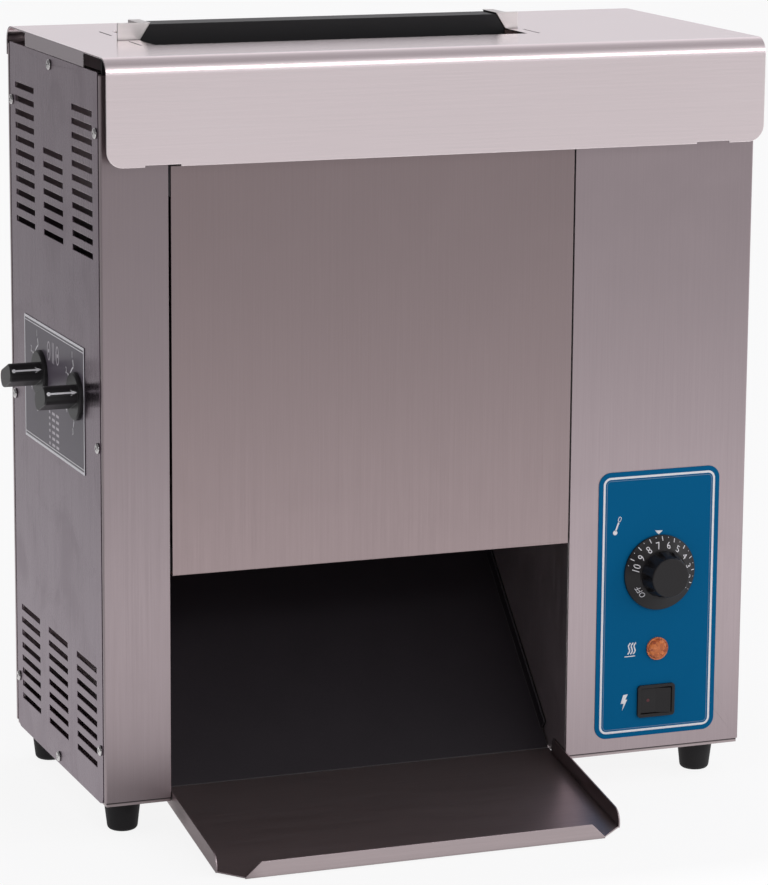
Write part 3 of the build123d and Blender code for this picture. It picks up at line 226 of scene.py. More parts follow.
def makeSkinGroup():
    look = skinLook
    tree, given, result = newGroup("mouldedSkin", [
        ("Base", "NodeSocketColor", (0.03, 0.03, 0.03, 1)), ("Size", "NodeSocketFloat", 900.0),
        ("Contrast", "NodeSocketFloat", 0.2), ("Roughness", "NodeSocketFloat", 0.45)],
        [("Color", "NodeSocketColor"), ("Roughness", "NodeSocketFloat"), ("Height", "NodeSocketFloat")])
    where = ownPlace(tree)
    pits = noiseNode(tree, where, given.outputs["Size"], look["pitDetail"])
    broad = noiseNode(tree, where, *look["broad"])
    mixed = mathNode(tree, "ADD", product(tree, pits, look["pitShare"]),
                     product(tree, broad, look["broadShare"]))
    centred = mathNode(tree, "SUBTRACT", mixed, 0.5)
    tone = mathNode(tree, "ADD", 1.0, product(tree, centred, look["swing"], given.outputs["Contrast"]))
    dulled = mathNode(tree, "ADD", look["leastRough"], product(tree, broad, look["roughSwing"]))
    feed(tree, result, {"Color": scaleNode(tree, given.outputs["Base"], tone), "Height": pits,
                        "Roughness": product(tree, given.outputs["Roughness"], dulled)})
    return tree


# painted shadow: a dark line on the pan's flange just under the sheet that laps over it
lapShadowLook = dict(spread=1.3, depth=0.92)


def makeLapGroup():
    tree, given, result = newGroup("lapShadowLine", [
        ("Height", "NodeSocketFloat", 0.03), ("Half", "NodeSocketFloat", 0.001)],
        [("Mask", "NodeSocketFloat")])
    height = splitNode(tree, ownPlace(tree))["Z"]
    away = mathNode(tree, "ABSOLUTE", mathNode(tree, "SUBTRACT", height, given.outputs["Height"]))
    halves = mathNode(tree, "DIVIDE", away, given.outputs["Half"])
    inside = mathNode(tree, "SUBTRACT", lapShadowLook["spread"], halves, clamp=True)
    feed(tree, result, {"Mask": product(tree, inside, lapShadowLook["depth"])})
    return tree


# painted shade: faces that look left or right, a sheet's turned-down ends, are coloured darker
def makeEndGroup():
    tree, given, result = newGroup("endFacesShade", [
        ("Turn", "NodeSocketFloat", 0.8)],
        [("Mask", "NodeSocketFloat")])
    across = splitNode(tree, addNode(tree, "ShaderNodeTexCoord").outputs["Normal"])["X"]
    steep = mathNode(tree, "GREATER_THAN", mathNode(tree, "ABSOLUTE", across), given.outputs["Turn"])
    feed(tree, result, {"Mask": steep})
    return tree


grainGroup = makeGrainGroup()
edgeWearAndHighlightGroup = makeEdgeGroup()
smudgeGroup = makeSmudgeGroup()
seamGroup = makeSeamGroup()
lapShadowGroup = makeLapGroup()
endShadeGroup = makeEndGroup()
skinGroup = makeSkinGroup()


def startMaterial(name):
    material = bpy.data.materials.new(name)
    material.use_nodes = True
    tree = material.node_tree
    tree.nodes.clear()
    shader = tree.nodes.new("ShaderNodeBsdfPrincipled")
    out = tree.nodes.new("ShaderNodeOutputMaterial")
    tree.links.new(shader.outputs[0], out.inputs["Surface"])
    return material, tree, shader


# sheet metal: colour, streak scales per metre, roughness, the brushing's stretch and axis, rubbed edges
# with a painted highlight, smudges, relief, and where a piece asks for it the reach of its painted seam
# shade, painted shade on its ends or a painted lap shadow
sheetFinishes = {
    "case_steel": dict(color=(0.408, 0.338, 0.357), streaks=(2600, 2600, 22), contrast=0.07, rough=0.33,
                       stretch=0.55, axis="Z", edge=0.45, smudge=0.04, bump=0.06),
    # painted shade: a darker copy of the case's steel for the front stile
    "stile_steel_shaded": dict(color=(0.342, 0.283, 0.298), streaks=(2600, 2600, 22), contrast=0.07, rough=0.33,
                        stretch=0.55, axis="Z", edge=0.45, smudge=0.03, bump=0.06),
    # painted shade: a darker copy of the case's steel for the front cover under the hood's apron
    "cover_steel_shaded": dict(color=(0.335, 0.265, 0.271), streaks=(2600, 2600, 22), contrast=0.07, rough=0.33,
                        stretch=0.55, axis="Z", edge=0.45, smudge=0.03, bump=0.06),
    # painted light: the hood's steel is a brighter copy of the case's, and its high edge share paints
    # highlights on its edges
    "hood_steel": dict(color=(0.97, 0.85, 0.87), streaks=(20, 2400, 2400), contrast=0.09, rough=0.20,
                       stretch=0.6, axis="X", edge=0.8, smudge=0.0, bump=0.06, reach=0.003, open=0.94,
                       paintedEndShade=(0.297, 0.245, 0.27)),
    "cap_steel": dict(color=(0.72, 0.69, 0.68), streaks=(20, 2400, 2400), contrast=0.06, rough=0.42,
                      stretch=0.0, axis="X", edge=0.4, smudge=0.0, bump=0.05, open=0.9),
    # painted shade: a darker copy of the case's steel for the side panels, whose high edge share paints a
    # highlight on their edges
    "side_steel_shaded": dict(color=(0.208, 0.157, 0.192), streaks=(2600, 2600, 22), contrast=0.05, rough=0.26,
                       stretch=0.45, axis="Z", edge=0.9, smudge=0.05, bump=0.05),
    "tray_steel": dict(color=(0.44, 0.37, 0.38), streaks=(20, 2400, 2400), contrast=0.08, rough=0.40,
                       stretch=0.4, axis="X", edge=0.5, smudge=0.0, bump=0.06),
    # painted shade: a long seam reach darkens the inner pieces
    "inner_steel": dict(color=(0.44, 0.40, 0.415), streaks=(1600, 1600, 14), contrast=0.08, rough=0.40,
                        stretch=0.3, axis="Z", edge=0.3, smudge=0.04, bump=0.06, reach=0.016),
    # painted light: a much lighter copy of the inner steel for the inner walls
    "wall_steel_lit": dict(color=(0.84, 0.75, 0.77), streaks=(1600, 1600, 14), contrast=0.08, rough=0.42,
                       stretch=0.3, axis="Z", edge=0.3, smudge=0.04, bump=0.06, reach=0.006),
    # painted shade: near-black rails, so that the gaps in front of them read dark
    "rail_steel_shaded": dict(color=(0.045, 0.042, 0.045), streaks=(1600, 1600, 14), contrast=0.08, rough=0.5,
                       stretch=0.0, axis="X", edge=0.1, smudge=0.0, bump=0.05, reach=0.008),
    # the base pan carries a painted shadow line under the lapping stile
    "pan_steel": dict(color=(0.43, 0.36, 0.37), streaks=(20, 2400, 2400), contrast=0.07, rough=0.33,
                      stretch=0.3, axis="X", edge=0.4, smudge=0.0, bump=0.05, lapShadowLine=(0.03305, 0.0011)),
    "platen_aluminium": dict(color=(0.62, 0.62, 0.64), streaks=(900, 900, 14), contrast=0.10, rough=0.36,
                             stretch=0.3, axis="Z", edge=0.4, smudge=0.12, bump=0.12),
    "roller_aluminium": dict(color=(0.66, 0.66, 0.68), streaks=(30, 900, 900), contrast=0.08, rough=0.32,
                             stretch=0.3, axis="X", edge=0.5, smudge=0.2, bump=0.08),
    "shaft_steel": dict(color=(0.55, 0.55, 0.57), streaks=(900, 60, 60), contrast=0.10, rough=0.26,
                        stretch=0.3, axis="X", edge=0.5, smudge=0.15, bump=0.08),
    "fastener_steel": dict(color=(0.66, 0.64, 0.64), streaks=(500, 500, 500), contrast=0.08, rough=0.2,
                           stretch=0.0, axis="Z", edge=0.5, smudge=0.1, bump=0.06),
    "heater_sheath": dict(color=(0.30, 0.27, 0.25), streaks=(60, 700, 700), contrast=0.2, rough=0.45,
                          stretch=0.0, axis="X", edge=0.2, smudge=0.4, bump=0.10),
    "chain_steel": dict(color=(0.22, 0.21, 0.20), streaks=(400, 400, 400), contrast=0.25, rough=0.38,
                        stretch=0.0, axis="X", edge=0.6, smudge=0.4, bump=0.2),
    "bronze": dict(color=(0.50, 0.34, 0.15), streaks=(500, 500, 500), contrast=0.15, rough=0.35,
                   stretch=0.0, axis="X", edge=0.4, smudge=0.2, bump=0.1),
    "copper_tube": dict(color=(0.62, 0.33, 0.2), streaks=(300, 300, 300), contrast=0.15, rough=0.3,
                        stretch=0.0, axis="X", edge=0.2, smudge=0.3, bump=0.05),
}
# how much brighter a sheet's rubbed edges with their painted highlight are, and its streaks' height in
# metres
sheetRelief = dict(gain=1.5, depth=0.0002)

# moulded, painted, woven and printed skins: colour, pit scale per metre, roughness, rubbed edges, relief,
# and where a piece asks for it another coat or shine
skinFinishes = {
    "black_coating": dict(color=(0.008, 0.0075, 0.009), size=700, contrast=0.15, rough=0.46,
                          edge=0.12, bump=0.08, shine=0.34),
    # painted light: a lighter copy of the black coating for the chute, whose top gets little light, and its
    # edge share paints a highlight on its edges
    "chute_black_lit": dict(color=(0.019, 0.0155, 0.019), size=700, contrast=0.15, rough=0.5,
                        edge=0.7, bump=0.08, shine=0.22),
    "rubber_feet": dict(color=(0.015, 0.014, 0.015), size=900, contrast=0.2, rough=0.62,
                        edge=0.05, bump=0.2, shine=0.25),
    "belt_silicone": dict(color=(0.36, 0.15, 0.08), size=1200, contrast=0.2, rough=0.55,
                          edge=0.2, bump=0.25),
    "black_plastic": dict(color=(0.014, 0.0125, 0.0135), size=1100, contrast=0.15, rough=0.36,
                          edge=0.12, bump=0.10, shine=0.28),
    "overlay_blue": dict(color=(0.0, 0.115, 0.27), size=1600, contrast=0.05, rough=0.5,
                         edge=0.1, bump=0.03, shine=0.06),
    "label_grey": dict(color=(0.115, 0.098, 0.122), size=1500, contrast=0.05, rough=0.34,
                       edge=0.1, bump=0.03, shine=0.22),
    "motor_paint": dict(color=(0.06, 0.068, 0.075), size=500, contrast=0.2, rough=0.42,
                        edge=0.4, bump=0.2, coat=0.1),
    "cable_black": dict(color=(0.018, 0.018, 0.018), size=800, contrast=0.1, rough=0.5,
                        edge=0.0, bump=0.1),
    "red_plastic": dict(color=(0.5, 0.015, 0.012), size=900, contrast=0.06, rough=0.3,
                        edge=0.1, bump=0.05, coat=0.1),
    "ceramic_white": dict(color=(0.78, 0.76, 0.70), size=500, contrast=0.06, rough=0.35,
                          edge=0.1, bump=0.08, coat=0.2),
    "release_cloth": dict(color=(0.30, 0.18, 0.09), size=1500, contrast=0.25, rough=0.42,
                          edge=0.0, bump=0.3),
    "spot_red": dict(color=(0.085, 0.009, 0.014), size=900, contrast=0.06, rough=0.4,
                     edge=0.0, bump=0.02),
    "print_white": dict(color=(0.86, 0.85, 0.87), size=1500, contrast=0.03, rough=0.42,
                        edge=0.0, bump=0.02),
    "print_pale_blue": dict(color=(0.13, 0.24, 0.40), size=1500, contrast=0.03, rough=0.42,
                            edge=0.0, bump=0.02),
    "print_grey": dict(color=(0.60, 0.56, 0.60), size=1500, contrast=0.03, rough=0.42,
                       edge=0.0, bump=0.02),
}
# how far a skin's rubbed edges with their painted highlight go towards white, its pits' depth in metres,
# and its usual coat and shine
skinRelief = dict(lift=0.12, depth=0.0003, coat=0.0, shine=0.5)


def reliefNode(tree, surface, edge, strength, depth):
    return addNode(tree, "ShaderNodeBump", {"Height": surface.outputs["Height"], "Strength": strength,
                                            "Distance": depth, "Normal": edge.outputs["Normal"]}).outputs[0]


def makeSheetMaterial(name, look):
    material, tree, shader = startMaterial(name)
    grain = placeGroup(tree, grainGroup, Base=(*look["color"], 1), Streaks=look["streaks"],
                       Contrast=look["contrast"], Roughness=look["rough"])
    edge = placeGroup(tree, edgeWearAndHighlightGroup, Amount=look["edge"])
    smudge = placeGroup(tree, smudgeGroup, Amount=look["smudge"])
    bright = [min(1.0, value * sheetRelief["gain"]) for value in look["color"]]
    # rubbed wear and painted highlight: edges mixed towards a brighter colour
    color = mixNode(tree, edge.outputs["Mask"], grain.outputs["Color"], (*bright, 1))
    # painted shade on the turned-down ends
    if "paintedEndShade" in look:
        paintedEndShade = placeGroup(tree, endShadeGroup)
        color = mixNode(tree, paintedEndShade.outputs["Mask"], color, (*look["paintedEndShade"], 1))
    seam = placeGroup(tree, seamGroup, Reach=look.get("reach", seamLook["reach"]),
                      Open=look.get("open", seamLook["open"]))
    shade = seam.outputs["Mask"]
    # painted shadow under the lapping sheet, joined to the seam shade
    if "lapShadowLine" in look:
        height, half = look["lapShadowLine"]
        lapShade = placeGroup(tree, lapShadowGroup, Height=height, Half=half)
        shade = mathNode(tree, "MAXIMUM", shade, lapShade.outputs["Mask"])
    feed(tree, shader, {
        # painted shade: seams and undersides, with any lap shadow, darken the base colour
        "Base Color": mixNode(tree, shade, color, seamLook["tone"]),
        "Roughness": mathNode(tree, "ADD", grain.outputs["Roughness"], smudge.outputs["Mask"]),
        "Normal": reliefNode(tree, grain, edge, look["bump"], sheetRelief["depth"])})
    shader.inputs["Metallic"].default_value = 1.0
    if look["stretch"]:
        shader.inputs["Anisotropic"].default_value = look["stretch"]
        along = addNode(tree, "ShaderNodeTangent", direction_type="RADIAL", axis=look["axis"])
        tree.links.new(along.outputs[0], shader.inputs["Tangent"])
    return material


def makeSkinMaterial(name, look):
    material, tree, shader = startMaterial(name)
    skin = placeGroup(tree, skinGroup, Base=(*look["color"], 1), Size=look["size"],
                      Contrast=look["contrast"], Roughness=look["rough"])
    edge = placeGroup(tree, edgeWearAndHighlightGroup, Amount=look["edge"])
    bright = [value + skinRelief["lift"] * (1 - value) for value in look["color"]]
    feed(tree, shader, {
        # rubbed wear and painted highlight: edges mixed towards white
        "Base Color": mixNode(tree, edge.outputs["Mask"], skin.outputs["Color"], (*bright, 1)),
        "Roughness": skin.outputs["Roughness"],
        "Normal": reliefNode(tree, skin, edge, look["bump"], skinRelief["depth"])})
    shader.inputs["Coat Weight"].default_value = look.get("coat", skinRelief["coat"])
    shader.inputs["Specular IOR Level"].default_value = look.get("shine", skinRelief["shine"])
    return material


finishes = {name: makeSheetMaterial(name, look) for name, look in sheetFinishes.items()}
finishes.update({name: makeSkinMaterial(name, look) for name, look in skinFinishes.items()})

# the pilot lamp's amber: chips of light and dark, painted glints and shade standing for the light its cut
# facets catch
amberLook = dict(glint=(0.93, 0.27, 0.07, 1), facetShade=(0.46, 0.092, 0.027, 1), chips=400.0,
                 rough=0.2, clear=0.2, shine=0.4)


def makeChipGroup():
    tree, given, result = newGroup("cutGlassGlints", [
        ("Light", "NodeSocketColor", amberLook["glint"]), ("FacetShade", "NodeSocketColor", amberLook["facetShade"]),
        ("Size", "NodeSocketFloat", amberLook["chips"])],
        [("Color", "NodeSocketColor")])
    cells = addNode(tree, "ShaderNodeTexVoronoi",
                    {"Vector": ownPlace(tree), "Scale": given.outputs["Size"]})
    pick = splitNode(tree, cells.outputs["Color"])["X"]
    feed(tree, result, {"Color": mixNode(tree, pick, given.outputs["Light"], given.outputs["FacetShade"])})
    return tree


def makeLampMaterial():
    material, tree, shader = startMaterial("lamp_amber")
    chips = placeGroup(tree, makeChipGroup())
    # painted glints and shade in the lamp's base colour
    feed(tree, shader, {"Base Color": chips.outputs["Color"]})
    shader.inputs["Roughness"].default_value = amberLook["rough"]
    shader.inputs["Transmission Weight"].default_value = amberLook["clear"]
    shader.inputs["Specular IOR Level"].default_value = amberLook["shine"]
    return material


finishes["lamp_amber"] = makeLampMaterial()
print("toaster: finishes made,", len(finishes))

# nodes that wear another finish than their slot's: the side panels, front stile, front cover and frame
# rails wear darker copies that paint shade on them, the inner walls a lighter copy that paints light, the
# chute a lighter black that paints light, the base pan a painted lap shadow, and the tray and feeder caps a
# finish for the way their sheet was cut or brushed
ownFinish = {
    "left_side_panel": "side_steel_shaded", "right_side_panel": "side_steel_shaded", "landing_tray": "tray_steel",
    "front_cover": "cover_steel_shaded", "left_front_stile": "stile_steel_shaded", "feeder_caps": "cap_steel",
    "left_inner_wall": "wall_steel_lit", "right_inner_wall": "wall_steel_lit", "frame_rails": "rail_steel_shaded",
    "discharge_chute": "chute_black_lit", "base_pan": "pan_steel",
}
for part in frame["record"]["subparts"]:
    node = nodes[part["node"]]
    node.data.materials.clear()
    node.data.materials.append(finishes[ownFinish.get(part["node"], part["material_slot"])])

# softened edges of the sheet pieces, in millimetres
softEdges = {
    "left_front_stile": 0.3, "control_panel": 0.3, "front_cover": 0.3, "left_side_panel": 0.3,
    "right_side_panel": 0.3, "rear_panel": 0.3, "rear_cover": 0.3, "hood": 0.35, "landing_tray": 0.3,
    "base_pan": 0.3, "feeder_caps": 0.3, "bun_feeder": 0.3, "left_inner_wall": 0.3, "right_inner_wall": 0.3,
}
# how near corners lie to be joined first, in millimetres, the bevel's steps, and the least turn in degrees
softCut = dict(weld=0.01, segments=2, sharpFrom=40)
for name, width in softEdges.items():
    node = nodes[name]
    weld = node.modifiers.new("joinedCorners", "WELD")
    weld.merge_threshold = softCut["weld"] * mm
    bevel = node.modifiers.new("softEdges", "BEVEL")
    bevel.width = width * mm
    bevel.segments = softCut["segments"]
    bevel.limit_method = "ANGLE"
    bevel.angle_limit = math.radians(softCut["sharpFrom"])
    even = node.modifiers.new("evenShading", "WEIGHTED_NORMAL")
    even.keep_sharp = True
print("toaster: finishes laid on the frame's nodes")

# small pieces made here: prints, pointers, screw heads and the lamp's glass

meltReach = 0.001  # millimetres within which a piece's corners become one


def addPiece(name, bm, finish, body, standsFor=()):
    bmesh.ops.remove_doubles(bm, verts=bm.verts, dist=meltReach * mm)
    bmesh.ops.recalc_face_normals(bm, faces=bm.faces)
    mesh = bpy.data.meshes.new(name)
    bm.to_mesh(mesh)
    bm.free()
    mesh.materials.append(finishes[finish])
    piece = bpy.data.objects.new(name, mesh)
    bpy.context.scene.collection.objects.link(piece)
    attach(piece, body)
    if standsFor:
        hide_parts(*standsFor)


# a print's skin below and above the face that carries it, and how far that face stands out from the cabinet
inkLook = dict(sink=0.03, rise=0.08, plate=0.5, letterSteps=3, letterDepth=0.5)


def onFront(u, v, h):  # the control overlay's face
    return at(u, -inkLook["plate"] - h, v)


def onSide(u, v, h):  # the knob label's face, u along the cabinet's depth
    return at(-inkLook["plate"] - h, u, v)


def roundPairs(count):  # each corner of a closed loop with the one after it
    return [(here, (here + 1) % count) for here in range(count)]


def joinRings(bm, near, far, smooth=False):
    for here, after in roundPairs(len(near)):
        bm.faces.new((near[here], near[after], far[after], far[here])).smooth = smooth


def addPrism(bm, lift, loop):
    base = [bm.verts.new(lift(u, v, -inkLook["sink"])) for u, v in loop]
    top = [bm.verts.new(lift(u, v, inkLook["rise"])) for u, v in loop]
    bm.faces.new(base)
    bm.faces.new(top)
    joinRings(bm, base, top)


def addRing(bm, lift, outer, inner):
    sink, rise = -inkLook["sink"], inkLook["rise"]
    levels = ((outer, sink), (outer, rise), (inner, rise), (inner, sink))
    rings = [[bm.verts.new(lift(u, v, h)) for u, v in loop] for loop, h in levels]
    for near, far in zip(rings, rings[1:] + rings[:1]):
        joinRings(bm, near, far)


def roundedLoop(u0, u1, v0, v1, radius, steps=8):
    corners = ((u1 - radius, v1 - radius, 0), (u0 + radius, v1 - radius, 90),
               (u0 + radius, v0 + radius, 180), (u1 - radius, v0 + radius, 270))
    loop = []
    for u, v, start in corners:
        for step in range(steps + 1):
            turn = math.radians(start + 90 * step / steps)
            loop.append((u + radius * math.cos(turn), v + radius * math.sin(turn)))
    return loop


def ovalLoop(u, v, halfWidth, halfHeight, steps=24):
    turns = [2 * math.pi * step / steps for step in range(steps)]
    return [(u + halfWidth * math.cos(turn), v + halfHeight * math.sin(turn)) for turn in turns]


def strokeLoop(points, width):  # an outline round a line of even width
    sides = ([], [])
    for i, (u, v) in enumerate(points):
        before, after = points[max(0, i - 1)], points[min(len(points) - 1, i + 1)]
        du, dv = after[0] - before[0], after[1] - before[1]
        length = math.hypot(du, dv)
        for side, half in zip(sides, (width / 2, -width / 2)):
            side.append((u - dv / length * half, v + du / length * half))
    return sides[0] + sides[1][::-1]


def addText(bm, text, height, lift):  # lift takes offsets from the middle of the text
    curve = bpy.data.curves.new("numeral", "FONT")
    curve.body = text
    curve.resolution_u = inkLook["letterSteps"]
    curve.extrude = inkLook["letterDepth"]
    holder = bpy.data.objects.new("numeral", curve)
    bpy.context.scene.collection.objects.link(holder)
    bpy.context.view_layer.update()
    mesh = bpy.data.meshes.new_from_object(holder.evaluated_get(bpy.context.evaluated_depsgraph_get()))
    bpy.data.objects.remove(holder)
    bpy.data.curves.remove(curve)
    lows = [min(vert.co[axis] for vert in mesh.vertices) for axis in (0, 1)]
    highs = [max(vert.co[axis] for vert in mesh.vertices) for axis in (0, 1)]
    scale = height / (highs[1] - lows[1])
    for vert in mesh.vertices:
        u = (vert.co.x - (lows[0] + highs[0]) / 2) * scale
        v = (vert.co.y - (lows[1] + highs[1]) / 2) * scale
        vert.co = lift(u, v, inkLook["rise"] if vert.co.z > 0 else -inkLook["sink"])
    bm.from_mesh(mesh)
    bpy.data.meshes.remove(mesh)


# the print of the control overlay, in the cabinet's millimetres across and up
overlayPrint = dict(
    corners=(440.0, 553.5, 15.0, 250.5), radius=11.0, lineIn=4.2, lineWidth=2.0, thinIn=7.3, thinWidth=0.6,
    dialMark=((493.3, 197.0), (500.7, 196.6), (497.0, 193.2)),
    stem=((456.3, 199.4), (459.0, 206.6)), stemWidth=1.5, bulb=(455.8, 197.7, 2.1, 2.1),
    tip=(459.9, 209.3), tipLean=-20, tipSteps=4, tipRings=((1.5, 2.3, 1.45), (0.9, 1.7, 0.88)),
    waveFoot=(469.8, 88.9), waveCount=3, wavePitch=2.6, waveLean=2.6, waveHeight=10.0, waveWidth=1.2,
    waveSwing=1.15, waveSteps=12, hotPlate=((466.9, 86.9), (477.0, 87.1)), hotPlateWidth=0.9,
    bolt=((466.4, 52.9), (470.8, 53.3), (468.7, 48.6), (470.4, 48.5), (465.6, 38.8), (466.9, 45.2),
          (464.2, 45.1)))


def bandLoops(inset, width):
    look = overlayPrint
    u0, u1, v0, v1 = look["corners"]
    return [roundedLoop(u0 + edge, u1 - edge, v0 + edge, v1 - edge, look["radius"] - edge)
            for edge in (inset, inset + width)]


def addThermometer(bm):
    look = overlayPrint
    addPrism(bm, onFront, strokeLoop(look["stem"], look["stemWidth"]))
    addPrism(bm, onFront, ovalLoop(*look["bulb"]))
    c, s = math.cos(math.radians(look["tipLean"])), math.sin(math.radians(look["tipLean"]))
    rings = []
    for halfWidth, halfHeight, radius in look["tipRings"]:
        loop = roundedLoop(-halfWidth, halfWidth, -halfHeight, halfHeight, radius, look["tipSteps"])
        rings.append([(look["tip"][0] + u * c - v * s, look["tip"][1] + u * s + v * c) for u, v in loop])
    addRing(bm, onFront, *rings)


def addHeatWaves(bm):
    look = overlayPrint
    foot, low = look["waveFoot"]
    for wave in range(look["waveCount"]):
        points = []
        for step in range(look["waveSteps"] + 1):
            part = step / look["waveSteps"]
            bend = look["waveSwing"] * math.sin(2 * math.pi * part)
            points.append((foot + look["wavePitch"] * wave + look["waveLean"] * part + bend,
                           low + look["waveHeight"] * part))
        addPrism(bm, onFront, strokeLoop(points, look["waveWidth"]))
    addPrism(bm, onFront, strokeLoop(look["hotPlate"], look["hotPlateWidth"]))


def makeOverlayPrint():
    look = overlayPrint
    bm = bmesh.new()
    addRing(bm, onFront, *bandLoops(look["lineIn"], look["lineWidth"]))
    addPrism(bm, onFront, look["dialMark"])
    addThermometer(bm)
    addHeatWaves(bm)
    addPrism(bm, onFront, look["bolt"])
    addPiece("overlayPrint", bm, "print_white", "cabinet")
    bm = bmesh.new()
    addRing(bm, onFront, *bandLoops(look["thinIn"], look["thinWidth"]))
    addPiece("overlayThinLine", bm, "print_pale_blue", "cabinet")


# the thermostat dial's scale, laid on its cone
dialPrint = dict(centre=(497.75, 160.1), rim=33.0, rimDepth=2.8, coneDepth=6.5, coneWidth=11.0,
                 numbers=10, topNumber=7, step=21.8, shift=-8.8, numberRadius=25.2, numberHeight=5.6,
                 offTurn=-126.0, offHeight=4.6, tick=(28.6, 32.0, 0.75), dotRadius=31.4,
                 dot=(0.42, 0.42, 8))


def onDial(turn, radius):
    look = dialPrint
    across, out = Vector((math.cos(turn), -math.sin(turn))), Vector((math.sin(turn), math.cos(turn)))

    def lift(u, v, h):
        flat = across * u + out * (radius + v)
        depth = look["rimDepth"] + (look["rim"] - flat.length) * look["coneDepth"] / look["coneWidth"]
        return at(look["centre"][0] + flat.x, -depth - h, look["centre"][1] + flat.y)
    return lift


def makeDialPrint():
    look = dialPrint
    low, high, width = look["tick"]
    wide, tall = width / 2, (high - low) / 2
    bm = bmesh.new()
    for number in range(1, look["numbers"] + 1):
        turn = math.radians((look["topNumber"] - number) * look["step"] + look["shift"])
        addText(bm, str(number), look["numberHeight"], onDial(turn, look["numberRadius"]))
        addPrism(bm, onDial(turn, look["dotRadius"]), ovalLoop(0, 0, *look["dot"]))
        if number < look["numbers"]:
            between = onDial(turn - math.radians(look["step"] / 2), (low + high) / 2)
            addPrism(bm, between, [(-wide, -tall), (wide, -tall), (wide, tall), (-wide, tall)])
    addText(bm, "OFF", look["offHeight"], onDial(math.radians(look["offTurn"]), look["numberRadius"]))
    addPiece("dialPrint", bm, "print_white", "dial")


# the knob label's print: border lines, a short scale round each knob, two oval signs and rows of dashes
labelPrint = dict(corners=(49.0, 228.0, 270.0, 376.5), heavy=2.3, side=1.9, thin=0.9, thinIn=4.3,
                  knobs=(70.0, 176.0), knobHeight=333.0, arcRadius=24.5, arcWidth=1.6, arcSteps=8,
                  arcs=((22, 62, (1, 2)), (118, 158, (4, 3))),
                  tickLength=6.0, numberOut=10.5, numberHeight=5.4,
                  signs=(153.0, 127.0), signHeight=356.5, signOuter=(4.8, 8.2), signInner=(3.5, 7.0),
                  signBar=1.6, signBarWidth=3.0, lineOut=1.8, lineReach=9, lineWidth=1.2,
                  rowHigh=304.5, rowPitch=5.4, rows=6, columns=((152.0, 4.0), (140.5, 8.5), (128.5, 8.5)),
                  dashHeight=2.4)


def aroundKnob(knob, radius, turn):
    return knob + radius * math.sin(turn), labelPrint["knobHeight"] + radius * math.cos(turn)


def addKnobScale(bm, knob, low, high, numbers):
    look = labelPrint
    radius, steps = look["arcRadius"], look["arcSteps"]
    turns = [math.radians(low + (high - low) * step / steps) for step in range(steps + 1)]
    addPrism(bm, onSide, strokeLoop([aroundKnob(knob, radius, turn) for turn in turns], look["arcWidth"]))
    for number, turn in zip(numbers, (turns[0], turns[-1])):
        tick = [aroundKnob(knob, reach, turn) for reach in (radius, radius + look["tickLength"])]
        addPrism(bm, onSide, strokeLoop(tick, look["arcWidth"]))
        u0, v0 = aroundKnob(knob, radius + look["numberOut"], turn)
        addText(bm, str(number), look["numberHeight"],
                lambda u, v, h, u0=u0, v0=v0: onSide(u0 - u, v0 + v, h))


def makeLabelPrint():
    look = labelPrint
    u0, u1, v0, v1 = look["corners"]
    heavy, side, inset = look["heavy"], look["side"], look["thinIn"]
    bm = bmesh.new()
    outer = [(u0, v0), (u1, v0), (u1, v1), (u0, v1)]
    inner = [(u0 + side, v0 + heavy), (u1 - side, v0 + heavy),
             (u1 - side, v1 - heavy), (u0 + side, v1 - heavy)]
    addRing(bm, onSide, outer, inner)
    for v in (v0 + inset, v1 - inset):
        addPrism(bm, onSide, strokeLoop([(u0 + side, v), (u1 - side, v)], look["thin"]))
    for knob in look["knobs"]:
        for low, high, numbers in look["arcs"]:
            addKnobScale(bm, knob, low, high, numbers)
    addPiece("labelPrint", bm, "print_white", "cabinet")


def makeLabelSigns():
    look = labelPrint
    bm = bmesh.new()
    height, bar, reach = look["signHeight"], look["signBar"], look["lineReach"]
    for u in look["signs"]:
        outer, inner = (ovalLoop(u, height, *look[size]) for size in ("signOuter", "signInner"))
        addRing(bm, onSide, outer, inner)
        addPrism(bm, onSide, strokeLoop([(u - bar, height), (u + bar, height)], look["signBarWidth"]))
    middle = sum(look["signs"]) / 2
    for u in (middle - look["lineOut"], middle + look["lineOut"]):
        addPrism(bm, onSide, strokeLoop([(u, height - reach), (u, height + reach)], look["lineWidth"]))
    for row in range(look["rows"]):
        v = look["rowHigh"] - look["rowPitch"] * row
        for u, length in look["columns"]:
            addPrism(bm, onSide, strokeLoop([(u - length / 2, v), (u + length / 2, v)], look["dashHeight"]))
    addPiece("labelSigns", bm, "print_grey", "cabinet")


# the white pointer on each compression knob's front end
pointerLook = dict(reach=(-29.0, -7.0), steps=6, width=1.5, dot=(1.7, 1.7, 16),
                   head=((-9.4, 0), (-10.6, 2.6), (-4.9, 0), (-10.6, -2.6)),
                   gripLength=34.0, gripWidth=16.0, gripRound=7.0, restTurn=22.0)


def makePointer(name, body, middle):
    look = pointerLook
    rounding = look["gripRound"]
    flat = look["gripWidth"] / 2 - rounding
    c, s = math.cos(math.radians(look["restTurn"])), math.sin(math.radians(look["restTurn"]))

    def lift(u, v, h):
        fall = max(0.0, abs(v) - flat)
        out = look["gripLength"] / 2 - rounding + math.sqrt(rounding ** 2 - fall ** 2) + h
        return at(u, middle - out * c + v * s, labelPrint["knobHeight"] + out * s + v * c)
    bm = bmesh.new()
    low, high = look["reach"]
    line = [(low + (high - low) * step / look["steps"], 0.0) for step in range(look["steps"] + 1)]
    addPrism(bm, lift, strokeLoop(line, look["width"]))
    addPrism(bm, lift, ovalLoop(low, 0, *look["dot"]))
    addPrism(bm, lift, look["head"])
    addPiece(name, bm, "print_white", body)


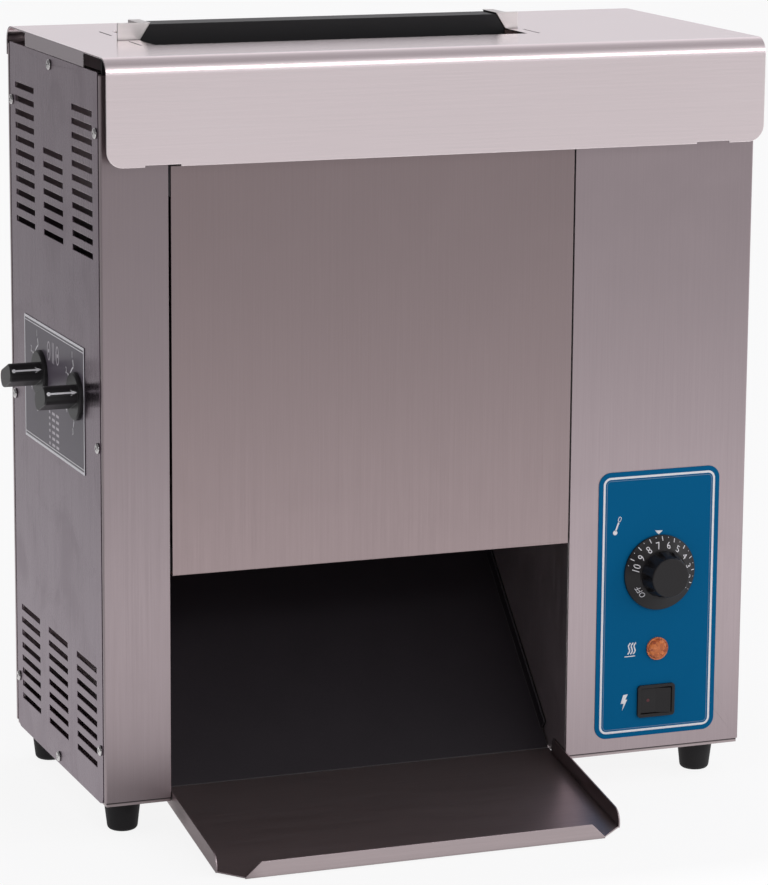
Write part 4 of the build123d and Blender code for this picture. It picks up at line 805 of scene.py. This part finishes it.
# cross-recessed pan-head screws of the case, in millimetres and degrees
screwLook = dict(profile=((2.0, -6.0), (2.0, 0.0), (4.4, 0.0), (4.4, 1.0), (4.1, 1.55), (3.4, 1.95),
                          (2.5, 2.2)),
                 sides=24, armLength=2.0, armWidth=0.45, recess=1.3, taper=0.62,
                 places=((12, 46), (12, 300.5), (12, 557), (260, 46), (260, 300.5), (260, 557),
                         (143, 598.5), (136, 6.5)),
                 left=0.0, right=578.0, firstTurn=17, nextTurn=41, sideTurn=23)


def addScrew(bm, place, outward, turned):
    look = screwLook

    def lift(u, v, h):
        c, s = math.cos(turned), math.sin(turned)
        return at(place[0] + outward * h, place[1] + u * c - v * s, place[2] + u * s + v * c)
    rings = []
    for radius, height in look["profile"]:
        loop = ovalLoop(0, 0, radius, radius, look["sides"])
        rings.append([bm.verts.new(lift(u, v, height)) for u, v in loop])
    for near, far in zip(rings, rings[1:]):
        joinRings(bm, near, far, smooth=True)
    bm.faces.new(rings[0])
    arm, half = look["armLength"], look["armWidth"]
    cross = [(arm, -half), (arm, half), (half, half), (half, arm), (-half, arm), (-half, half),
             (-arm, half), (-arm, -half), (-half, -half), (-half, -arm), (half, -arm), (half, -half)]
    top, taper = look["profile"][-1][1], look["taper"]
    mouth = [bm.verts.new(lift(u, v, top)) for u, v in cross]
    floor = [bm.verts.new(lift(u * taper, v * taper, top - look["recess"])) for u, v in cross]
    joinRings(bm, mouth, floor)
    bm.faces.new(floor)
    edges = []
    for loop in (mouth, rings[-1]):
        for here, after in roundPairs(len(loop)):
            edges.append(bm.edges.get((loop[here], loop[after])))
    bmesh.ops.triangle_fill(bm, edges=edges, use_beauty=True)


def makeScrews():
    look = screwLook
    bm = bmesh.new()
    for side, (x, outward) in enumerate(((look["left"], -1), (look["right"], 1))):
        for count, (y, z) in enumerate(look["places"]):
            turned = look["firstTurn"] + look["nextTurn"] * count + look["sideTurn"] * side
            addScrew(bm, (x, y, z), outward, math.radians(turned))
    addPiece("caseScrews", bm, "fastener_steel", "cabinet", ["case_screws"])


# the pilot lamp's cut amber glass, in millimetres: radius, place in depth and turn of each ring in sides
lensLook = dict(centre=(497.5, 92.1), sides=14,
                rings=((8.6, -0.9, 0), (8.6, -2.6, 0), (7.4, -3.6, 0.5), (4.9, -4.25, 0), (2.3, -4.5, 0.5)))


def makeLens():
    look = lensLook
    across, up = look["centre"]
    bm = bmesh.new()
    rings = []
    for radius, y, shift in look["rings"]:
        turns = [2 * math.pi * (step + shift) / look["sides"] for step in range(look["sides"])]
        rings.append([bm.verts.new(at(across + radius * math.cos(turn), y, up + radius * math.sin(turn)))
                      for turn in turns])
    bm.faces.new(rings[0])
    bm.faces.new(rings[-1])
    for i, (near, far) in enumerate(zip(rings, rings[1:])):
        step = look["rings"][i + 1][2] - look["rings"][i][2]
        for here, after in roundPairs(look["sides"]):
            if step == 0:
                bm.faces.new((near[here], near[after], far[after], far[here]))
            elif step > 0:
                bm.faces.new((near[here], near[after], far[here]))
                bm.faces.new((near[after], far[after], far[here]))
            else:
                bm.faces.new((near[here], far[after], far[here]))
                bm.faces.new((near[here], near[after], far[after]))
    addPiece("lampGlass", bm, "lamp_amber", "cabinet", ["lamp_lens"])


# the red spot let into the rocker's face, found from a place in front of it
spotLook = dict(before=(489.7, -40, 46.3), oval=(1.5, 1.5, 20))


def makeRockerSpot():
    rocker = nodes["power_rocker"]
    back = rocker.matrix_world.inverted()
    start, ahead = back @ at(*spotLook["before"]), back.to_3x3() @ Vector((0, 1, 0))
    place, normal = rocker.ray_cast(start, ahead)[1:3]
    middle = rocker.matrix_world @ place
    normal = (rocker.matrix_world.to_3x3() @ normal).normalized()
    across = normal.cross(Vector((0, 0, 1))).normalized()
    up = across.cross(normal)

    def lift(u, v, h):
        return middle + (across * u + up * v + normal * h) * mm
    bm = bmesh.new()
    addPrism(bm, lift, ovalLoop(0, 0, *spotLook["oval"]))
    addPiece("rockerSpot", bm, "spot_red", "rocker")


makeOverlayPrint()
makeDialPrint()
makeLabelPrint()
makeLabelSigns()
makePointer("frontPointer", "front_knob", labelPrint["knobs"][0])
makePointer("rearPointer", "rear_knob", labelPrint["knobs"][1])
makeScrews()
makeLens()
makeRockerSpot()
print("toaster: prints, pointers, screws and lamp glass made")

# studio: floor, surroundings, lamps and camera

studioLook = dict(floorTone=(0.74, 0.74, 0.76, 1), floorGlow=0.97, floorShown=1.06, floorGlowShare=0.85,
                  floorSize=24.0, airTone=(0.985, 0.97, 1, 1), mattTone=0.62, lampAim=(0.0, 0.05, 0.3))
# the floor as polished sheets mirror it: axis, stretch in metres, and the tones at its two ends
floorRamps = dict(nearFront=("Y", -2.4, -0.6, 0.455, 1.25), nearSide=("X", -0.97, -0.48, 0.71, 1.22),
                  underFoot=("Y", -0.8, -0.2, 1.0, 0.64))
# a darker patch beside the tray, which the tray's left wall mirrors
patchRamps = dict(besideTray=("X", -0.34, -0.26, 0.0, 0.55), aheadOfCase=("Y", -0.08, -0.02, 1.0, 0.0),
                  leftOfTray=("X", -0.2, -0.18, 1.0, 0.0), nearTray=("Y", -0.34, -0.22, 0.0, 1.0))
# the air round the toaster as sheets mirror it, by direction
airRamps = dict(front=("Y", -0.75, 0.25, 0.62, 1.0), side=("X", -0.5, -0.02, 0.22, 1.0),
                zenith=("Z", 0.45, 0.95, 1.0, 0.34), low=("Z", -0.9, -0.1, 0.75, 1.0),
                back=("Y", 0.35, 0.82, 1.0, 0.69), band=("Z", 0.16, 0.32, 1.0, 1.25))
lampLooks = dict(keyLamp=dict(power=20.0, size=(3.4, 0.45), place=(0.8, -3.2, 1.9)),
                 fillLamp=dict(power=10.0, size=(1.6, 1.6), place=(3.0, -1.6, 1.2)))
cameraLook = dict(place=(-855.34, -2856.65, 932.27), yaw=21.04, pitch=11.83, roll=0.402,
                  lens=153.12, sensor=36.0)


def rampProduct(tree, vector, ramps, kind="LINEAR"):
    split = splitNode(tree, vector)
    tones = [rampNode(tree, split[axis], *numbers, kind) for axis, *numbers in ramps.values()]
    return product(tree, *tones)


def shownDirectly(tree, path):
    return mathNode(tree, "MAXIMUM", path.outputs["Is Camera Ray"], path.outputs["Is Transmission Ray"])


def makeFloor():
    look = studioLook
    half = look["floorSize"] / 2
    corners = [(-half, -half, 0), (half, -half, 0), (half, half, 0), (-half, half, 0)]
    mesh = bpy.data.meshes.new("studioFloor")
    mesh.from_pydata(corners, [], [(0, 1, 2, 3)])
    floor = bpy.data.objects.new("studioFloor", mesh)
    bpy.context.scene.collection.objects.link(floor)
    material = bpy.data.materials.new("studioFloor")
    material.use_nodes = True
    tree = material.node_tree
    tree.nodes.clear()
    out = tree.nodes.new("ShaderNodeOutputMaterial")
    matt = addNode(tree, "ShaderNodeBsdfDiffuse", {"Color": look["floorTone"]})
    path = tree.nodes.new("ShaderNodeLightPath")
    where = addNode(tree, "ShaderNodeNewGeometry").outputs["Position"]
    clear = mathNode(tree, "SUBTRACT", 1.0, rampProduct(tree, where, patchRamps))
    reflected = product(tree, rampProduct(tree, where, floorRamps), clear)
    shown = shownDirectly(tree, path)
    tone = mathNode(tree, "MAXIMUM", reflected, product(tree, shown, look["floorShown"]))
    glow = addNode(tree, "ShaderNodeEmission", {"Strength": product(tree, tone, look["floorGlow"])})
    seen = mathNode(tree, "MAXIMUM", shown, path.outputs["Is Glossy Ray"])
    share = product(tree, seen, look["floorGlowShare"])
    mixed = addNode(tree, "ShaderNodeMixShader", {0: share, 1: matt.outputs[0], 2: glow.outputs[0]})
    tree.links.new(mixed.outputs[0], out.inputs["Surface"])
    mesh.materials.append(material)


def makeSurroundings():
    world = bpy.data.worlds.new("studio")
    bpy.context.scene.world = world
    world.use_nodes = True
    tree = world.node_tree
    tree.nodes.clear()
    out = tree.nodes.new("ShaderNodeOutputWorld")
    facing = addNode(tree, "ShaderNodeTexCoord").outputs["Generated"]
    tone = rampProduct(tree, facing, airRamps, "SMOOTHSTEP")
    path = tree.nodes.new("ShaderNodeLightPath")
    matt = product(tree, path.outputs["Is Diffuse Ray"], studioLook["mattTone"])
    strength = mathNode(tree, "MAXIMUM", mathNode(tree, "MAXIMUM", tone, matt), shownDirectly(tree, path))
    air = addNode(tree, "ShaderNodeBackground", {"Color": studioLook["airTone"], "Strength": strength})
    tree.links.new(air.outputs[0], out.inputs["Surface"])


def addLamp(name, look):
    lamp = bpy.data.lights.new(name, "AREA")
    lamp.shape = "RECTANGLE"
    lamp.size, lamp.size_y = look["size"]
    lamp.energy = look["power"]
    made = bpy.data.objects.new(name, lamp)
    bpy.context.scene.collection.objects.link(made)
    made.location = look["place"]
    aim = Vector(studioLook["lampAim"]) - Vector(look["place"])
    made.rotation_euler = aim.to_track_quat("-Z", "Y").to_euler()


def makeCamera():
    look = cameraLook
    lens = bpy.data.cameras.new("photoView")
    lens.lens = look["lens"]
    lens.sensor_width = look["sensor"]
    camera = bpy.data.objects.new("photoView", lens)
    bpy.context.scene.collection.objects.link(camera)
    turn = (Matrix.Rotation(math.radians(-look["yaw"]), 4, "Z")
            @ Matrix.Rotation(math.radians(90 - look["pitch"]), 4, "X")
            @ Matrix.Rotation(math.radians(look["roll"]), 4, "Z"))
    camera.matrix_world = Matrix.Translation(at(*look["place"])) @ turn
    bpy.context.scene.camera = camera


makeFloor()
makeSurroundings()
for name, look in lampLooks.items():
    addLamp(name, look)
makeCamera()
bpy.context.scene.view_settings.view_transform = "Standard"
print("toaster: studio and camera set")

bpy.context.view_layer.update()
